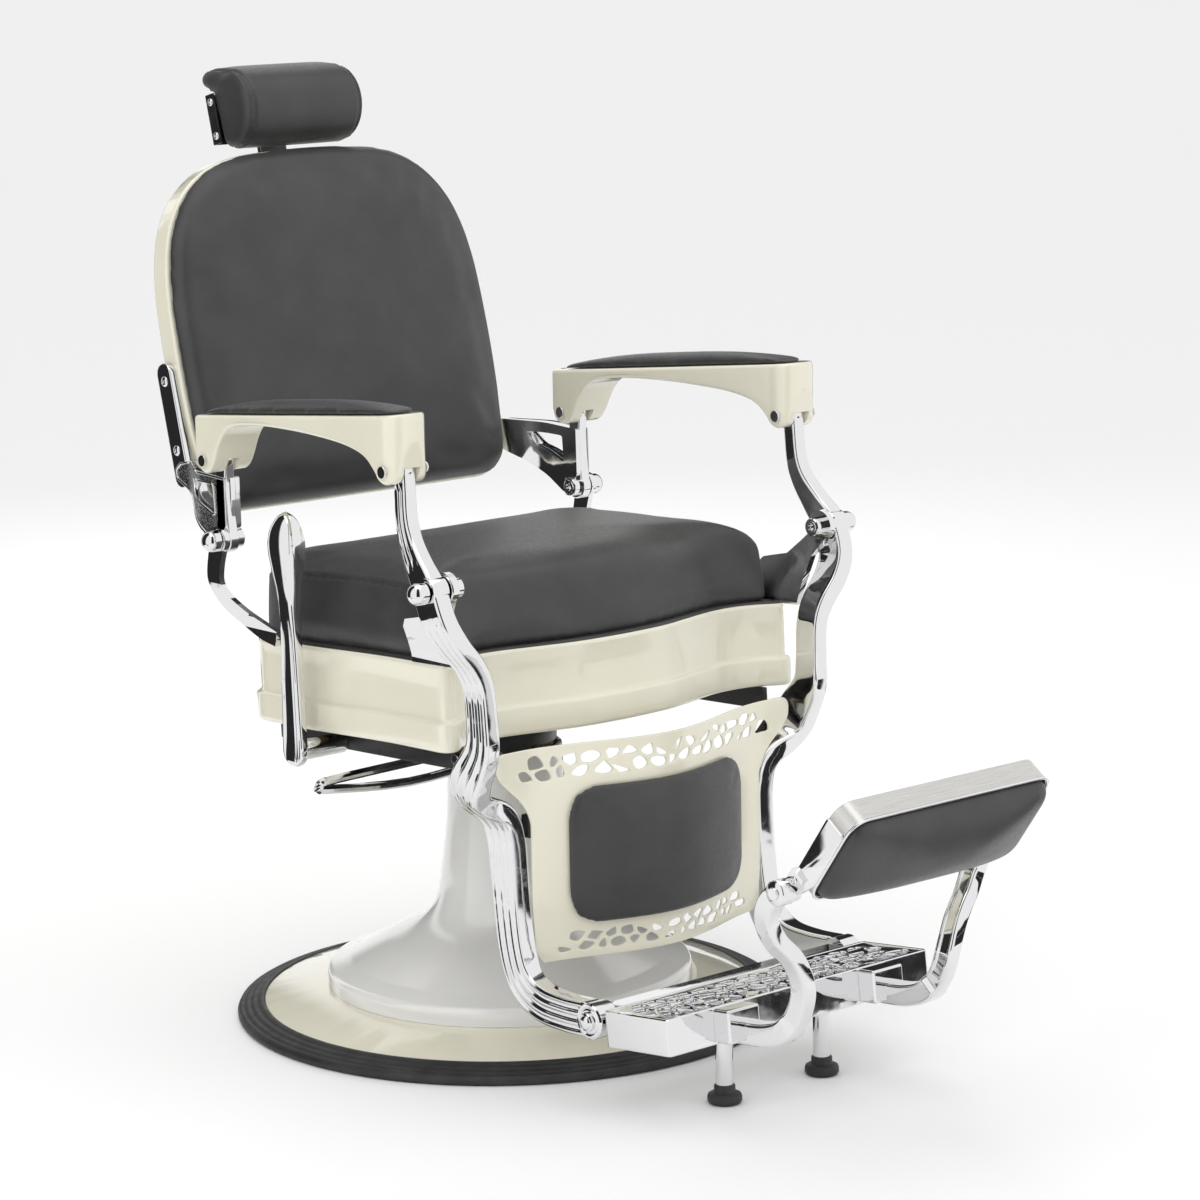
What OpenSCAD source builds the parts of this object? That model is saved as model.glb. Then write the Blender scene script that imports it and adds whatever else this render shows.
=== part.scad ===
// Hydraulic barber chair, millimetres, +Z up. The chair faces -Y and its left side is +X.
// The origin is the centre of the round base, on the floor.

/* [Base] */
// Outer radius of the rubber floor ring
base_r = 330; // [320:5:345]
// Radius of the painted base plate inside the floor ring
plate_r = 297; // [290:1:300]
// Radius of the bell cover at its lower rim
bell_r = 220; // [210:2:240]
// Radius of the bell cover at the top of its neck
neck_r = 68; // [66:1:74]
// Height of the top of the bell neck
neck_z = 326; // [316:1:330]
// Diameter of the pump piston rod
rod_d = 38; // [34:1:42]
// Outer diameter of the pump cylinder
cylinder_d = 90; // [84:1:92]

/* [Seat] */
// Half width of the seat skirt at its corners
seat_half_w = 262; // [258:1:266]
// Depth of the seat skirt from its front corners to its back
seat_depth = 388; // [380:1:396]
// Height of the skirt
skirt_h = 98; // [94:1:102]
// Rise of the seat towards its front, in degrees
seat_tilt = 2.5; // [2:0.1:3]
// Height of the skirt's lower edge at its front corners
seat_z = 389; // [387:1:392]
// Thickness of the seat cushion at its edge
cushion_h = 78; // [70:1:86]
// Rise of the seat cushion's crown above its edge
crown_h = 24; // [16:1:28]

/* [Back] */
// Lean of the back from vertical, in degrees
back_lean = 14; // [13:0.5:15]
// Half width of the back
back_half_w = 236; // [232:1:238]
// Length of the back along its lean
back_len = 434; // [424:1:440]
// Thickness of the back cushion
back_pad_t = 46; // [42:1:50]
// Width of the headrest
headrest_w = 184; // [176:1:190]
// Height of the headrest's round section
headrest_h = 104; // [98:1:106]

/* [Linkage] */
// Height of the rear pivot, where the back turns
rear_pivot_z = 585; // [580:1:590]
// Distance of the rear pivot behind the column
rear_pivot_y = 173; // [170:1:176]
// Height of the front pivot, where the leg frames turn
front_pivot_z = 581; // [578:1:584]
// Distance of the front pivot in front of the column
front_pivot_y = 253; // [251:1:255]
// Diameter of the pivot bolts
pivot_d = 12; // [10:1:13]

/* [Footrest] */
// Half width of the footplate
footplate_half_w = 200; // [196:1:204]
// Half width of the flip-over foot pad
foot_pad_half_w = 151; // [146:1:154]
// Length of the foot pad from its pivot to its far edge
foot_pad_len = 130; // [122:1:140]

/* [Hidden] */
$fn = 64;
slip = 0.05;
front_corner_y = -229;
wall = 3;
lip_out = 6;
lip_h = 27;
step_h = 7;
board_t = 15;
plate_z = 36;
rod_r = rod_d / 2;
bore_r = rod_r + 14;
cylinder_r = cylinder_d / 2;
cylinder_z0 = 60;
cylinder_z1 = 330;
piston_z = 286;
head_z0 = 330;
head_z1 = 364;
front_pivot = [-front_pivot_y, front_pivot_z];
rear_pivot = [rear_pivot_y, rear_pivot_z];
pivot_r = pivot_d / 2;
arm_rear_pin = [172, 681];
arm_front_pin = [-195, 708];
arm_pin_r = 4;
open_pin_gap = 2.4;
arm_x0 = 284;
arm_x1 = 304;
lever_x0 = 291;
lever_x1 = 315;
bracket_x0 = 265;
bracket_x1 = 279;
back_origin = [254, 600];
shell_t = 30;
pad_front = -32;
pad_back = pad_front + back_pad_t;
shell_back = pad_back + 0.4 + shell_t;
headrest_r = headrest_h / 2;
headrest_c = [30, 490];
headrest_flat = 58;
headrest_pin = [73, 470];
bar_y = shell_back + 8;
side_bar_y = pad_back + 22;
bar_foot = 262;
guide_foot = 250;
guide_top = 398;
recline_axis = [16, 359];
pedal_axis = [-84, 336];
pedal_y = -66;
foot_pivot = [-649, 293];
foot_tilt = 54;
foot_post = [75, -463];
footplate_slope = 6.2;
panel_t = 3;
panel_flat_y = -254;
panel_bow = 44;
panel_wave = 190;

// ---- curves ----

// Catmull-Rom point between b and c
function curve_point(a, b, c, d, t) =
    0.5 * (2 * b + (c - a) * t + (2 * a - 5 * b + 4 * c - d) * t * t
    + (3 * b - a - 3 * c + d) * t * t * t);

// Smooth open curve through the points p, n steps between neighbours
function smooth(p, n = 6) = [
    for (i = [0 : len(p) - 2])
        for (k = [0 : n - 1])
            curve_point(p[max(i - 1, 0)], p[i], p[i + 1], p[min(i + 2, len(p) - 1)], k / n),
    p[len(p) - 1]
];

// Unit normal of a flat path at point i
function side_way(p, i) =
    let (a = p[max(i - 1, 0)], b = p[min(i + 1, len(p) - 1)])
    let (d = [b[0] - a[0], b[1] - a[1]])
    [-d[1], d[0]] / norm(d);

// Outline of a strap that follows a path whose points are [a, b, width]
function strap(p) = concat(
    [for (i = [0 : len(p) - 1]) [p[i][0], p[i][1]] + side_way(p, i) * p[i][2] / 2],
    [for (i = [len(p) - 1 : -1 : 0]) [p[i][0], p[i][1]] - side_way(p, i) * p[i][2] / 2]
);

// Arc of radius r about c, from angle a0 to a1
function arc(c, r, a0, a1, n = 8) =
    [for (k = [0 : n]) c + r * [cos(a0 + (a1 - a0) * k / n), sin(a0 + (a1 - a0) * k / n)]];

// The left half outline joined to its mirror image
function both(p) = concat(p, [for (i = [len(p) - 1 : -1 : 0]) [-p[i][0], p[i][1]]]);

// Rounded rectangle from (x0, y0) to (x1, y1)
function round_rect(x0, y0, x1, y1, r) = concat(
    arc([x1 - r, y1 - r], r, 0, 90), arc([x0 + r, y1 - r], r, 90, 180),
    arc([x0 + r, y0 + r], r, 180, 270), arc([x1 - r, y0 + r], r, 270, 360));

// Stretch an outline about the point c
function stretch(p, k, c) = [for (q = p) [c[0] + (q[0] - c[0]) * k[0], c[1] + (q[1] - c[1]) * k[1]]];

// ---- placing ----

// A flat outline in Y and Z, made solid from x0 to x1
module yz(x0, x1) {
    translate([x0, 0, 0])
        rotate([90, 0, 90])
            linear_extrude(x1 - x0)
                children();
}

// A flat outline in X and Z, made solid from y0 to y1
module xz(y0, y1) {
    translate([0, y1, 0])
        rotate([90, 0, 0])
            linear_extrude(y1 - y0)
                children();
}

// A cylinder along X through the point p of the YZ plane
module x_pin(p, r, x0, x1) {
    translate([x0, p[0], p[1]])
        rotate([0, 90, 0])
            cylinder(r = r, h = x1 - x0);
}

// A dome along +X or -X, of radius r and height h
module dome(p, x, r, h, way = 1) {
    translate([x, p[0], p[1]])
        rotate([0, 90 * way, 0])
            rotate_extrude()
                polygon(concat([[0, 0]], [for (a = [0 : 15 : 90]) [r * cos(a), h * sin(a)]]));
}

// The same piece on the left (+X) or on the right
module on_side(side) {
    if (side > 0) {
        children();
    } else {
        mirror([1, 0, 0])
            children();
    }
}

// The tilted frame of the seat: y runs back from the front corners, z up from the skirt's edge
module seat_frame() {
    translate([0, front_corner_y, seat_z])
        rotate([-seat_tilt, 0, 0])
            children();
}

// The leaning frame of the back: z runs up the back from its lower edge
module back_frame() {
    translate([0, back_origin[0], back_origin[1]])
        rotate([-back_lean, 0, 0])
            children();
}

// The foot pad's frame: -y runs out from its pivot, -z faces its cushion
module foot_frame() {
    translate([0, foot_pivot[0], foot_pivot[1]])
        rotate([-foot_tilt, 0, 0])
            children();
}

// A tube of radius r swept along the path p, with n sides
module swept(p, r, n = 10) {
    rings = len(p);
    way = [for (i = [0 : rings - 1]) let (d = p[min(i + 1, rings - 1)] - p[max(i - 1, 0)]) d / norm(d)];
    pts = [for (i = [0 : rings - 1])
        let (u = cross(way[i], [0.15, 1, 0.1]), v = u / norm(u), w = cross(way[i], v))
        for (k = [0 : n - 1]) p[i] + r * (v * cos(360 * k / n) + w * sin(360 * k / n))];
    faces = concat(
        [[for (k = [0 : n - 1]) k]],
        [for (i = [0 : rings - 2]) for (k = [0 : n - 1])
            [i * n + k, (i + 1) * n + k, (i + 1) * n + (k + 1) % n, i * n + (k + 1) % n]],
        [[for (k = [n - 1 : -1 : 0]) (rings - 1) * n + k]]);
    polyhedron(points = pts, faces = faces);
}

// ---- base ----

module floor_ring() {
    color([0.09, 0.09, 0.09])
        rotate_extrude($fn = 128)
            polygon([[plate_r + 0.1, 3], [plate_r + 6, 0], [base_r - 4, 0], [base_r, 4], [base_r, 8],
                [base_r - 5, 13], [base_r - 12, 14], [base_r - 16, 17], [base_r - 23, 18],
                [base_r - 27, 20], [plate_r + 0.1, 20]]);
}

module base_disc() {
    color([0.93, 0.90, 0.80])
        rotate_extrude($fn = 128)
            polygon([[0, 0], [74, 0], [74, 24], [210, 24], [280, 12], [290, 3], [plate_r, 3],
                [plate_r, 19], [bell_r + 6, plate_z], [42, plate_z], [42, 30], [0, 30]]);
}

// Outer profile of the bell, from its rim up to the neck
bell_profile = concat(
    [[bell_r, plate_z + 0.2]],
    arc([bell_r - 9, plate_z + 14], 9, 0, 70, 5),
    smooth([[bell_r - 26, 65], [150, 88], [104, 112], [86, 140], [79, 180], [72, 240], [69, 300],
        [neck_r, neck_z]], 5));

module bell_cover() {
    color([0.94, 0.93, 0.90])
        rotate_extrude($fn = 128)
            polygon(concat(bell_profile,
                [for (i = [len(bell_profile) - 1 : -1 : 0])
                    [bell_profile[i][0] - wall, max(bell_profile[i][1] - wall * (i > 2 ? 1 : 0),
                        plate_z + 0.2)]]));
}

module guide_tube() {
    color([0.55, 0.56, 0.58])
        rotate_extrude()
            polygon([[cylinder_r + 5, plate_z], [95, plate_z], [95, plate_z + 12],
                [cylinder_r + 11, plate_z + 12], [cylinder_r + 11, neck_z - 6], [cylinder_r + 5,
                    neck_z - 6]]);
}

module guide_bush() {
    color([0.78, 0.62, 0.30])
        rotate_extrude()
            polygon([[cylinder_r + slip, neck_z - 66], [cylinder_r + 5, neck_z - 66],
                [cylinder_r + 5, neck_z - 6], [cylinder_r + 14, neck_z - 6], [cylinder_r + 14, neck_z],
                [cylinder_r + slip, neck_z]]);
}

module thrust_bearing() {
    color([0.75, 0.75, 0.77])
        rotate_extrude()
            polygon([[0, 30], [41.9, 30], [41.9, plate_z + 6], [rod_r + slip, plate_z + 6],
                [rod_r + slip, plate_z], [0, plate_z]]);
}

module base_bolts() {
    color([0.30, 0.30, 0.32])
        for (a = [30 : 60 : 330])
            rotate([0, 0, a])
                translate([78, 0, plate_z + 12])
                    cylinder(d = 18, h = 9, $fn = 6);
}

// ---- swivel rod ----

module piston_rod() {
    color([0.82, 0.83, 0.85])
        rotate_extrude()
            polygon([[0, plate_z + slip], [rod_r, plate_z + slip], [rod_r, piston_z], [bore_r - slip,
                piston_z],
                [bore_r - slip, piston_z + 26], [0, piston_z + 26]]);
}

// ---- pump and chassis ----

module pump_cylinder() {
    color([0.82, 0.83, 0.85])
        rotate_extrude()
            polygon([[bore_r, cylinder_z0 + 20], [cylinder_r - 4, cylinder_z0 + 20], [cylinder_r - 4,
                cylinder_z0],
                [cylinder_r, cylinder_z0], [cylinder_r, cylinder_z1], [bore_r, cylinder_z1]]);
}

module cylinder_gland() {
    color([0.15, 0.15, 0.15])
        rotate_extrude()
            polygon([[rod_r + slip, cylinder_z0], [cylinder_r - 4, cylinder_z0], [cylinder_r - 4,
                cylinder_z0 + 20],
                [rod_r + slip, cylinder_z0 + 20]]);
}

module pump_head() {
    color([0.12, 0.12, 0.12])
        difference() {
            union() {
                translate([0, 0, head_z0])
                    cylinder(r = 62, h = head_z1 - head_z0);
                translate([-96, pedal_y - 24, head_z0])
                    cube([60, 48, head_z1 - head_z0]);
            }
            translate([-97, pedal_y - 9, head_z0 - 7])
                cube([34, 18, head_z1 - head_z0 + 8]);
            translate([pedal_axis[0], pedal_y - 25, pedal_axis[1]])
                rotate([-90, 0, 0])
                    cylinder(r = 5 + slip, h = 50);
        }
}

// Height of the tilted chassis plate's underside at y
function plate_under(y) = seat_z - (y - front_corner_y) * tan(seat_tilt);

// Height just above the skirt's top edge at y
function skirt_top(y) = plate_under(y) + skirt_h / cos(seat_tilt) + 0.1;

module chassis() {
    color([0.10, 0.10, 0.10])
        union() {
            seat_frame() {
                translate([-225, 44, 0])
                    cube([450, 312, 6]);
                for (x = [-231, 225])
                    yz(x, x + 6)
                        polygon([[16, -27], [366, -27], [366, 23], [38, 23], [38, -0.5], [16, -0.5]]);
            }
            yz(-70, 70)
                polygon([[-75, head_z1], [75, head_z1], [75, plate_under(75) + 1], [-75,
                    plate_under(-75) + 1]]);
        }
}

module seat_rails() {
    color([0.13, 0.13, 0.13])
        seat_frame()
            for (x = [-150, 110])
                translate([x, 44, 6])
                    cube([40, 300, skirt_h - board_t - 6]);
}

// ---- seat ----

// Half outline of the seat in plan, from the middle of the front to the middle of the back
seat_half = concat(
    smooth([[0, 4], [60, 8], [107, 20], [157, 35], [190, 38], [222, 31], [246, 14], [254, 8]], 4),
    arc([seat_half_w - 8, 16], 8, 300, 360, 3),
    smooth([[seat_half_w - 1, 32], [seat_half_w - 4, 130], [seat_half_w + 2, 250], [seat_half_w, 330]], 4),
    arc([seat_half_w - 46, seat_depth - 46], 46, 10, 90, 7),
    [[0, seat_depth]]);
seat_outline = concat(seat_half, [for (i = [len(seat_half) - 2 : -1 : 1]) [-seat_half[i][0],
    seat_half[i][1]]]);
seat_mid = [0, seat_depth / 2];

// The seat outline grown outwards by d on every side
function seat_grown(d) = stretch(seat_outline, [1 + d / seat_half_w, 1 + d / (seat_depth / 2)], seat_mid);

module seat_board() {
    color([0.72, 0.58, 0.38])
        seat_frame()
            translate([0, 0, skirt_h - board_t])
                linear_extrude(board_t)
                    polygon(seat_grown(-wall - 1.5));
}

module seat_skirt() {
    color([0.93, 0.90, 0.80])
        seat_frame()
            difference() {
                union() {
                    linear_extrude(skirt_h)
                        polygon(seat_outline);
                    linear_extrude(lip_h)
                        polygon(seat_grown(lip_out));
                    linear_extrude(lip_h + step_h)
                        polygon(seat_grown(lip_out / 2));
                }
                translate([0, 0, -1])
                    linear_extrude(skirt_h + 2)
                        polygon(seat_grown(-wall));
            }
}

module seat_cushion() {
    color([0.17, 0.17, 0.17])
        seat_frame()
            translate([0, 0, skirt_h + 0.4]) {
                linear_extrude(cushion_h)
                    polygon(seat_grown(-9));
                translate([0, 0, cushion_h - 1])
                    hull() {
                        linear_extrude(1)
                            polygon(stretch(seat_grown(-18), [1, 0.95], seat_mid));
                        translate([0, 0, crown_h * 0.7])
                            linear_extrude(0.5)
                                polygon(round_rect(-190, 60, 190, seat_depth - 55, 60));
                        translate([0, 0, crown_h])
                            linear_extrude(1)
                                polygon(round_rect(-110, 110, 110, seat_depth - 110, 60));
                    }
            }
}

// ---- brackets and pivots of the seat ----

module front_bracket(side) {
    color([0.85, 0.86, 0.88])
        on_side(side)
            difference() {
                union() {
                    intersection() {
                        yz(240, 290)
                            polygon(concat([[-240, skirt_top(-240)], [-160, skirt_top(-160)], [-160,
                                526], [-168, 536],
                                [-206, 544], [-234, 570]], arc(front_pivot, 19, 30, 190), [[-247, 545]]));
                        xz(-300, -150)
                            polygon(strap(smooth([[258, 480, 7], [259, 494, 7], [265, 515, 8], [276,
                                545, 8],
                                [284, 570, 8], [284, 605, 8]], 5)));
                    }
                    x_pin(front_pivot, 17, 281, lever_x0 - 1.2);
                }
                x_pin(front_pivot, pivot_r + 0.02, 240, 300);
            }
}

module rear_strut(side) {
    color([0.85, 0.86, 0.88])
        on_side(side)
            difference() {
                union() {
                    intersection() {
                        yz(250, 290)
                            polygon(strap(smooth([[84, 477, 18], [112, 484, 22], [141, 495, 22], [170,
                                511, 23], [184, 532, 24],
                                [181, 558, 25], [rear_pivot_y, rear_pivot_z, 27]], 5)));
                        xz(60, 200)
                            polygon(strap(smooth([[268, 460, 7], [268, 485, 7], [275, 510, 7], [282.5,
                                540, 7],
                                [283, 580, 7], [283, 610, 7]], 5)));
                    }
                    x_pin(rear_pivot, 16, 279.5, 286.5);
                    xz(84, 112)
                            polygon([[255, skirt_top(84)], [271, skirt_top(84)], [271, 478], [255, 478]]);
                }
                x_pin(rear_pivot, pivot_r + 0.02, 240, 300);
                translate([261, 98, 478])
                    cylinder(r = 6.3, h = 30);
            }
}

module pivot_bolts() {
    color([0.88, 0.89, 0.91])
        for (side = [1, -1])
            on_side(side) {
                x_pin(front_pivot, pivot_r, 270, lever_x1 + 0.6);
                x_pin(front_pivot, 10, 267, 280);
                x_pin(front_pivot, 13, lever_x1 + 0.5, lever_x1 + 3);
                dome(front_pivot, lever_x1 + 3, 12, 9);
                x_pin(rear_pivot, pivot_r, 258, 288);
                x_pin(rear_pivot, 10, 255, bracket_x0 - 0.5);
                x_pin(rear_pivot, 14, 286.8, 290);
                dome(rear_pivot, 290, 14, 12);
            }
}

module seat_screws() {
    color([0.80, 0.80, 0.82])
        for (side = [1, -1])
            on_side(side) {
                seat_frame()
                    for (y = [32, 340])
                        x_pin([y, -14], 6, 231, 235);
                translate([261, 98, 478])
                    cylinder(r = 6, h = 4);
            }
}

// ---- recline lever, on the right side ----

module lever_sleeve() {
    color([0.80, 0.80, 0.82])
        difference() {
            x_pin(recline_axis, 12, -291, -231);
            x_pin(recline_axis, 7 + slip, -292, -230);
        }
}

module recline_lever() {
    color([0.85, 0.86, 0.88])
        union() {
            yz(-303, -292)
                polygon(concat(
                    arc(recline_axis, 17, 180, 360, 12),
                    smooth([[33, 400], [30, 500], [31, 560], [34, 580]], 5),
                    smooth([[4, 580], [6, 560], [3, 500], [0, 400]], 5)));
            translate([-298, 20, 592])
                resize([30, 46, 88])
                    sphere(r = 20, $fn = 24);
            x_pin(recline_axis, 7, -293, -232);
        }
}

// ---- pump pedal ----

module pump_pedal() {
    color([0.85, 0.86, 0.88])
        difference() {
            union() {
                swept(smooth([[-84, pedal_y, 345], [-200, pedal_y, 343], [-300, pedal_y, 341], [-322,
                    pedal_y, 339],
                    [-326, pedal_y, 335], [-316, pedal_y, 331], [-200, pedal_y, 320], [-84, pedal_y,
                        326]], 4), 5.5);
                translate([pedal_axis[0], pedal_y + 8, pedal_axis[1]])
                    rotate([90, 0, 0])
                        cylinder(r = 14, h = 16);
            }
            translate([pedal_axis[0], pedal_y - 20, pedal_axis[1]])
                rotate([-90, 0, 0])
                    cylinder(r = 5 + slip, h = 40);
        }
}

module pedal_pin() {
    color([0.6, 0.6, 0.62])
        translate([pedal_axis[0], pedal_y - 27, pedal_axis[1]])
            rotate([-90, 0, 0])
                cylinder(r = 5, h = 54);
}

// ---- back ----

// Half outline of the back, seen from the front, from the bottom middle to the top middle
back_half = concat(
    [[0, 0]],
    arc([back_half_w - 50, 44], 44, 270, 340, 6),
    smooth([[back_half_w - 5, 70], [back_half_w - 1, 120], [back_half_w, 190], [back_half_w - 3, 268],
        [back_half_w - 12, 320], [back_half_w - 28, 360], [back_half_w - 53, 392], [back_half_w - 90, 417],
        [back_half_w - 134, back_len - 5], [52, back_len - 1], [0, back_len]], 4));
back_outline = concat(back_half, [for (i = [len(back_half) - 2 : -1 : 1]) [-back_half[i][0],
    back_half[i][1]]]);
back_mid = [0, back_len / 2];

// The back outline shrunk by d on every side
function back_shrunk(d) = stretch(back_outline, [1 - d / back_half_w, 1 - 2 * d / back_len], back_mid);

module back_shell() {
    color([0.93, 0.90, 0.80])
        back_frame()
            xz(pad_back + 0.4, shell_back)
                polygon(back_shrunk(0));
}

module back_cushion() {
    color([0.17, 0.17, 0.17])
        back_frame()
            union() {
                xz(pad_front + 14, pad_back)
                    polygon(back_shrunk(1));
                hull() {
                    xz(pad_front + 14, pad_front + 15)
                        polygon(back_shrunk(2));
                    xz(pad_front, pad_front + 1)
                        polygon(back_shrunk(34));
                }
            }
}

// The side casting that carries the back: side bar, triangular web and upright strap
module back_bracket(side) {
    color([0.85, 0.86, 0.88])
        on_side(side)
            difference() {
                union() {
                    back_frame()
                        yz(back_half_w + 0.5, back_half_w + 8.5)
                            polygon(concat(arc([side_bar_y, 52], 14, 180, 360, 8), arc([side_bar_y,
                                174], 14, 0, 180, 8)));
                    yz(bracket_x0, bracket_x1)
                        difference() {
                            polygon([[160, 600], [162, 660], [274, 665], [314, 661], [310, 638], [250, 612],
                                [rear_pivot_y + 14, 576]]);
                            polygon([[186, 612], [190, 649], [250, 650], [236, 632]]);
                        }
                    back_frame()
                        translate([back_half_w + 0.5, side_bar_y - 10, 38])
                            cube([bracket_x1 - back_half_w - 0.5, 22, 26]);
                    yz(bracket_x0, bracket_x1)
                        polygon(strap(smooth([[rear_pivot_y, rear_pivot_z, 28], [173, 610, 22], [174,
                            650, 20],
                            [arm_rear_pin[0], arm_rear_pin[1], 20]], 5)));
                    x_pin(rear_pivot, 16, bracket_x0, bracket_x1);
                    x_pin(arm_rear_pin, 12, bracket_x0, bracket_x1);
                }
                x_pin(rear_pivot, pivot_r + slip, 240, 300);
                x_pin(arm_rear_pin, arm_pin_r + slip, 240, 300);
            }
}

module bracket_screws() {
    color([0.80, 0.80, 0.82])
        for (side = [1, -1])
            on_side(side)
                back_frame()
                    for (z = [84, 168])
                        x_pin([side_bar_y, z], 6, back_half_w + 8.5, back_half_w + 12);
}

module headrest_guide() {
    color([0.20, 0.20, 0.20])
        back_frame()
            difference() {
                translate([-26, shell_back, guide_foot])
                    cube([52, bar_y + 8 - shell_back, guide_top - guide_foot]);
                translate([-20.1, bar_y - 4.1, guide_foot - 1])
                    cube([40.2, 8.2, guide_top - guide_foot + 2]);
            }
}

// ---- headrest ----

module headrest_bar() {
    color([0.82, 0.83, 0.85])
        back_frame()
            difference() {
                union() {
                    yz(-20, 20)
                        polygon([[bar_y - 4, bar_foot], [bar_y + 4, bar_foot], [bar_y + 4, guide_top + 6],
                            [headrest_pin[0] + 4, guide_top + 40], [headrest_pin[0] + 4, headrest_pin[1]],
                            [headrest_pin[0] - 4, headrest_pin[1]], [headrest_pin[0] - 4, guide_top + 43],
                            [bar_y - 4, guide_top + 9]]);
                    x_pin(headrest_pin, 9, -20, 20);
                }
                x_pin(headrest_pin, 4 + slip, -21, 21);
            }
}

module headrest_hinge_pin() {
    color([0.6, 0.6, 0.62])
        back_frame()
            x_pin(headrest_pin, 4, -32, 32);
}

// Outline of the headrest's D section, in the back's frame
headrest_section = concat(
    arc(headrest_c, headrest_r, 66, 294, 24),
    [[headrest_flat - 6, headrest_c[1] - 43], [headrest_flat, headrest_c[1] - 37],
        [headrest_flat, headrest_c[1] + 37], [headrest_flat - 6, headrest_c[1] + 43]]);

module headrest_cushion() {
    color([0.17, 0.17, 0.17])
        back_frame()
            yz(-headrest_w / 2, headrest_w / 2)
                polygon(headrest_section);
}

module headrest_plate() {
    color([0.12, 0.12, 0.12])
        back_frame()
            difference() {
                union() {
                    translate([-headrest_w / 2 - 3, headrest_flat + 0.4, headrest_c[1] - 38])
                        cube([headrest_w + 6, 3, 62]);
                    for (x = [-headrest_w / 2 - 3, headrest_w / 2 + 0.4])
                        translate([x, headrest_flat - 13, headrest_c[1] - 38])
                            cube([2.6, 15, 62]);
                    for (x = [-29, 21])
                        yz(x, x + 8)
                            polygon(concat([[headrest_flat + 2, headrest_pin[1] + 16],
                                [headrest_flat + 2, headrest_pin[1] - 16]],
                                arc(headrest_pin, 10, -90, 90, 10)));
                }
                x_pin(headrest_pin, 4.02, -40, 40);
            }
}

module headrest_screws() {
    color([0.80, 0.80, 0.82])
        for (side = [1, -1])
            on_side(side)
                back_frame()
                    for (z = [-28, 14])
                        x_pin([headrest_flat - 6, headrest_c[1] + z], 4.5, headrest_w / 2 + 3,
                            headrest_w / 2 + 6);
}

// ---- armrests ----

// Height of the armrest's top face at y
function arm_top(y) = 751 - 0.096 * y;

// Side outline of the armrest, in Y and Z, with its two lugs
arm_profile = concat(
    [[191, arm_top(191) - 4], [186, arm_top(186)], [-198, arm_top(-198)]],
    arc([-204, arm_top(-198) - 10], 10, 80, 180, 4),
    smooth([[-214, 740], [-213, 722], [-210, 706]], 3),
    arc(arm_front_pin, 15, 200, 330, 6),
    smooth([[-176, 712], [-160, 722], [-120, 730], [-60, 734], [0, 734], [60, 731], [92, 724], [122, 708],
        [146, 686]], 3),
    arc(arm_rear_pin, 15, 205, 350, 6));

// Plan outline of the armrest: narrow at the back, wide at the front
arm_plan = smooth([[244, 192], [243, 170], [247, 90], [253, 0], [260, -100], [264, -160], [268, -196],
    [276, -212], [296, -217], [312, -212], [321, -196], [321, -150], [316, -60], [311, 40], [304, 130],
    [301, 192]], 3);

module armrest(side) {
    color([0.93, 0.90, 0.80])
        on_side(side)
            difference() {
                intersection() {
                    yz(235, 340)
                        polygon(arm_profile);
                    translate([0, 0, 640])
                        linear_extrude(170)
                            polygon(arm_plan);
                }
                translate([bracket_x0 - 1, 136, 640])
                    cube([bracket_x1 - bracket_x0 + 2, 50, arm_rear_pin[1] - 640]);
                x_pin(arm_rear_pin, 16, bracket_x0 - 1, bracket_x1 + 1);
                translate([arm_x0 - 1, -222, 640])
                    cube([arm_x1 - arm_x0 + 2, 46, arm_front_pin[1] - 640]);
                x_pin(arm_front_pin, 17, arm_x0 - 1, arm_x1 + 1);
                x_pin(arm_rear_pin, arm_pin_r + 0.02, 200, 360);
                x_pin(arm_front_pin, arm_pin_r + 0.02, 200, 360);
            }
}

module arm_pad(side) {
    color([0.17, 0.17, 0.17])
        on_side(side)
            intersection() {
                yz(235, 340)
                    polygon(concat(
                        [for (y = [-190 : 22.5 : 170]) [y, arm_top(y) + 0.4]],
                        [for (y = [170 : -22.5 : -190]) [y, arm_top(y) + 3 + 15 * sqrt(max(0,
                            1 - pow((y + 10) / 181, 4)))]]));
                translate([0, 0, 700])
                    linear_extrude(120)
                        polygon(stretch(arm_plan, [0.84, 0.95], [286, -12]));
            }
}

module arm_pins(side) {
    color([0.80, 0.80, 0.82])
        on_side(side) {
            x_pin(arm_rear_pin, arm_pin_r, 242.5, 303.4);
            x_pin(arm_rear_pin, 7, 303.4, 305.5);
            x_pin(arm_rear_pin, 7, 240, 242.5);
            x_pin(arm_front_pin, arm_pin_r, 266, 322.6);
            x_pin(arm_front_pin, 7, 322.6, 325);
            x_pin(arm_front_pin, 7, 263.5, 266);
        }
}

// ---- leg frames ----

// Side view path of a leg frame, from its top eye down and forward to the footplate
leg_side = smooth([[-195, 716, 22], [-197, 690, 21], [-200, 655, 22], [-209, 630, 24], [-226, 605, 27],
    [-246, 582, 32], [-258, 556, 36], [-264, 525, 38], [-266, 480, 36], [-268, 430, 36], [-266, 396, 40],
    [-246, 362, 50], [-232, 334, 52], [-231, 300, 44], [-236, 220, 40], [-245, 155, 40], [-261, 120, 41],
    [-292, 103, 41], [-336, 100, 40], [-384, 103, 40]], 4);

// Front view path of a leg frame, from its top eye down to the floor side
leg_front = smooth([[294, 740, 18], [294, 690, 18], [296, 640, 19], [300, 605, 20], [303, 575, 22],
    [300, 545, 22],
    [286, 520, 22], [266, 496, 22], [254, 470, 21], [251, 430, 21], [250, 385, 22], [247, 352, 24],
    [230, 330, 26], [204, 312, 26], [192, 288, 26], [189, 240, 26], [189, 60, 26]], 4);

leg_bolt = [-382, 102.6];

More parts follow.
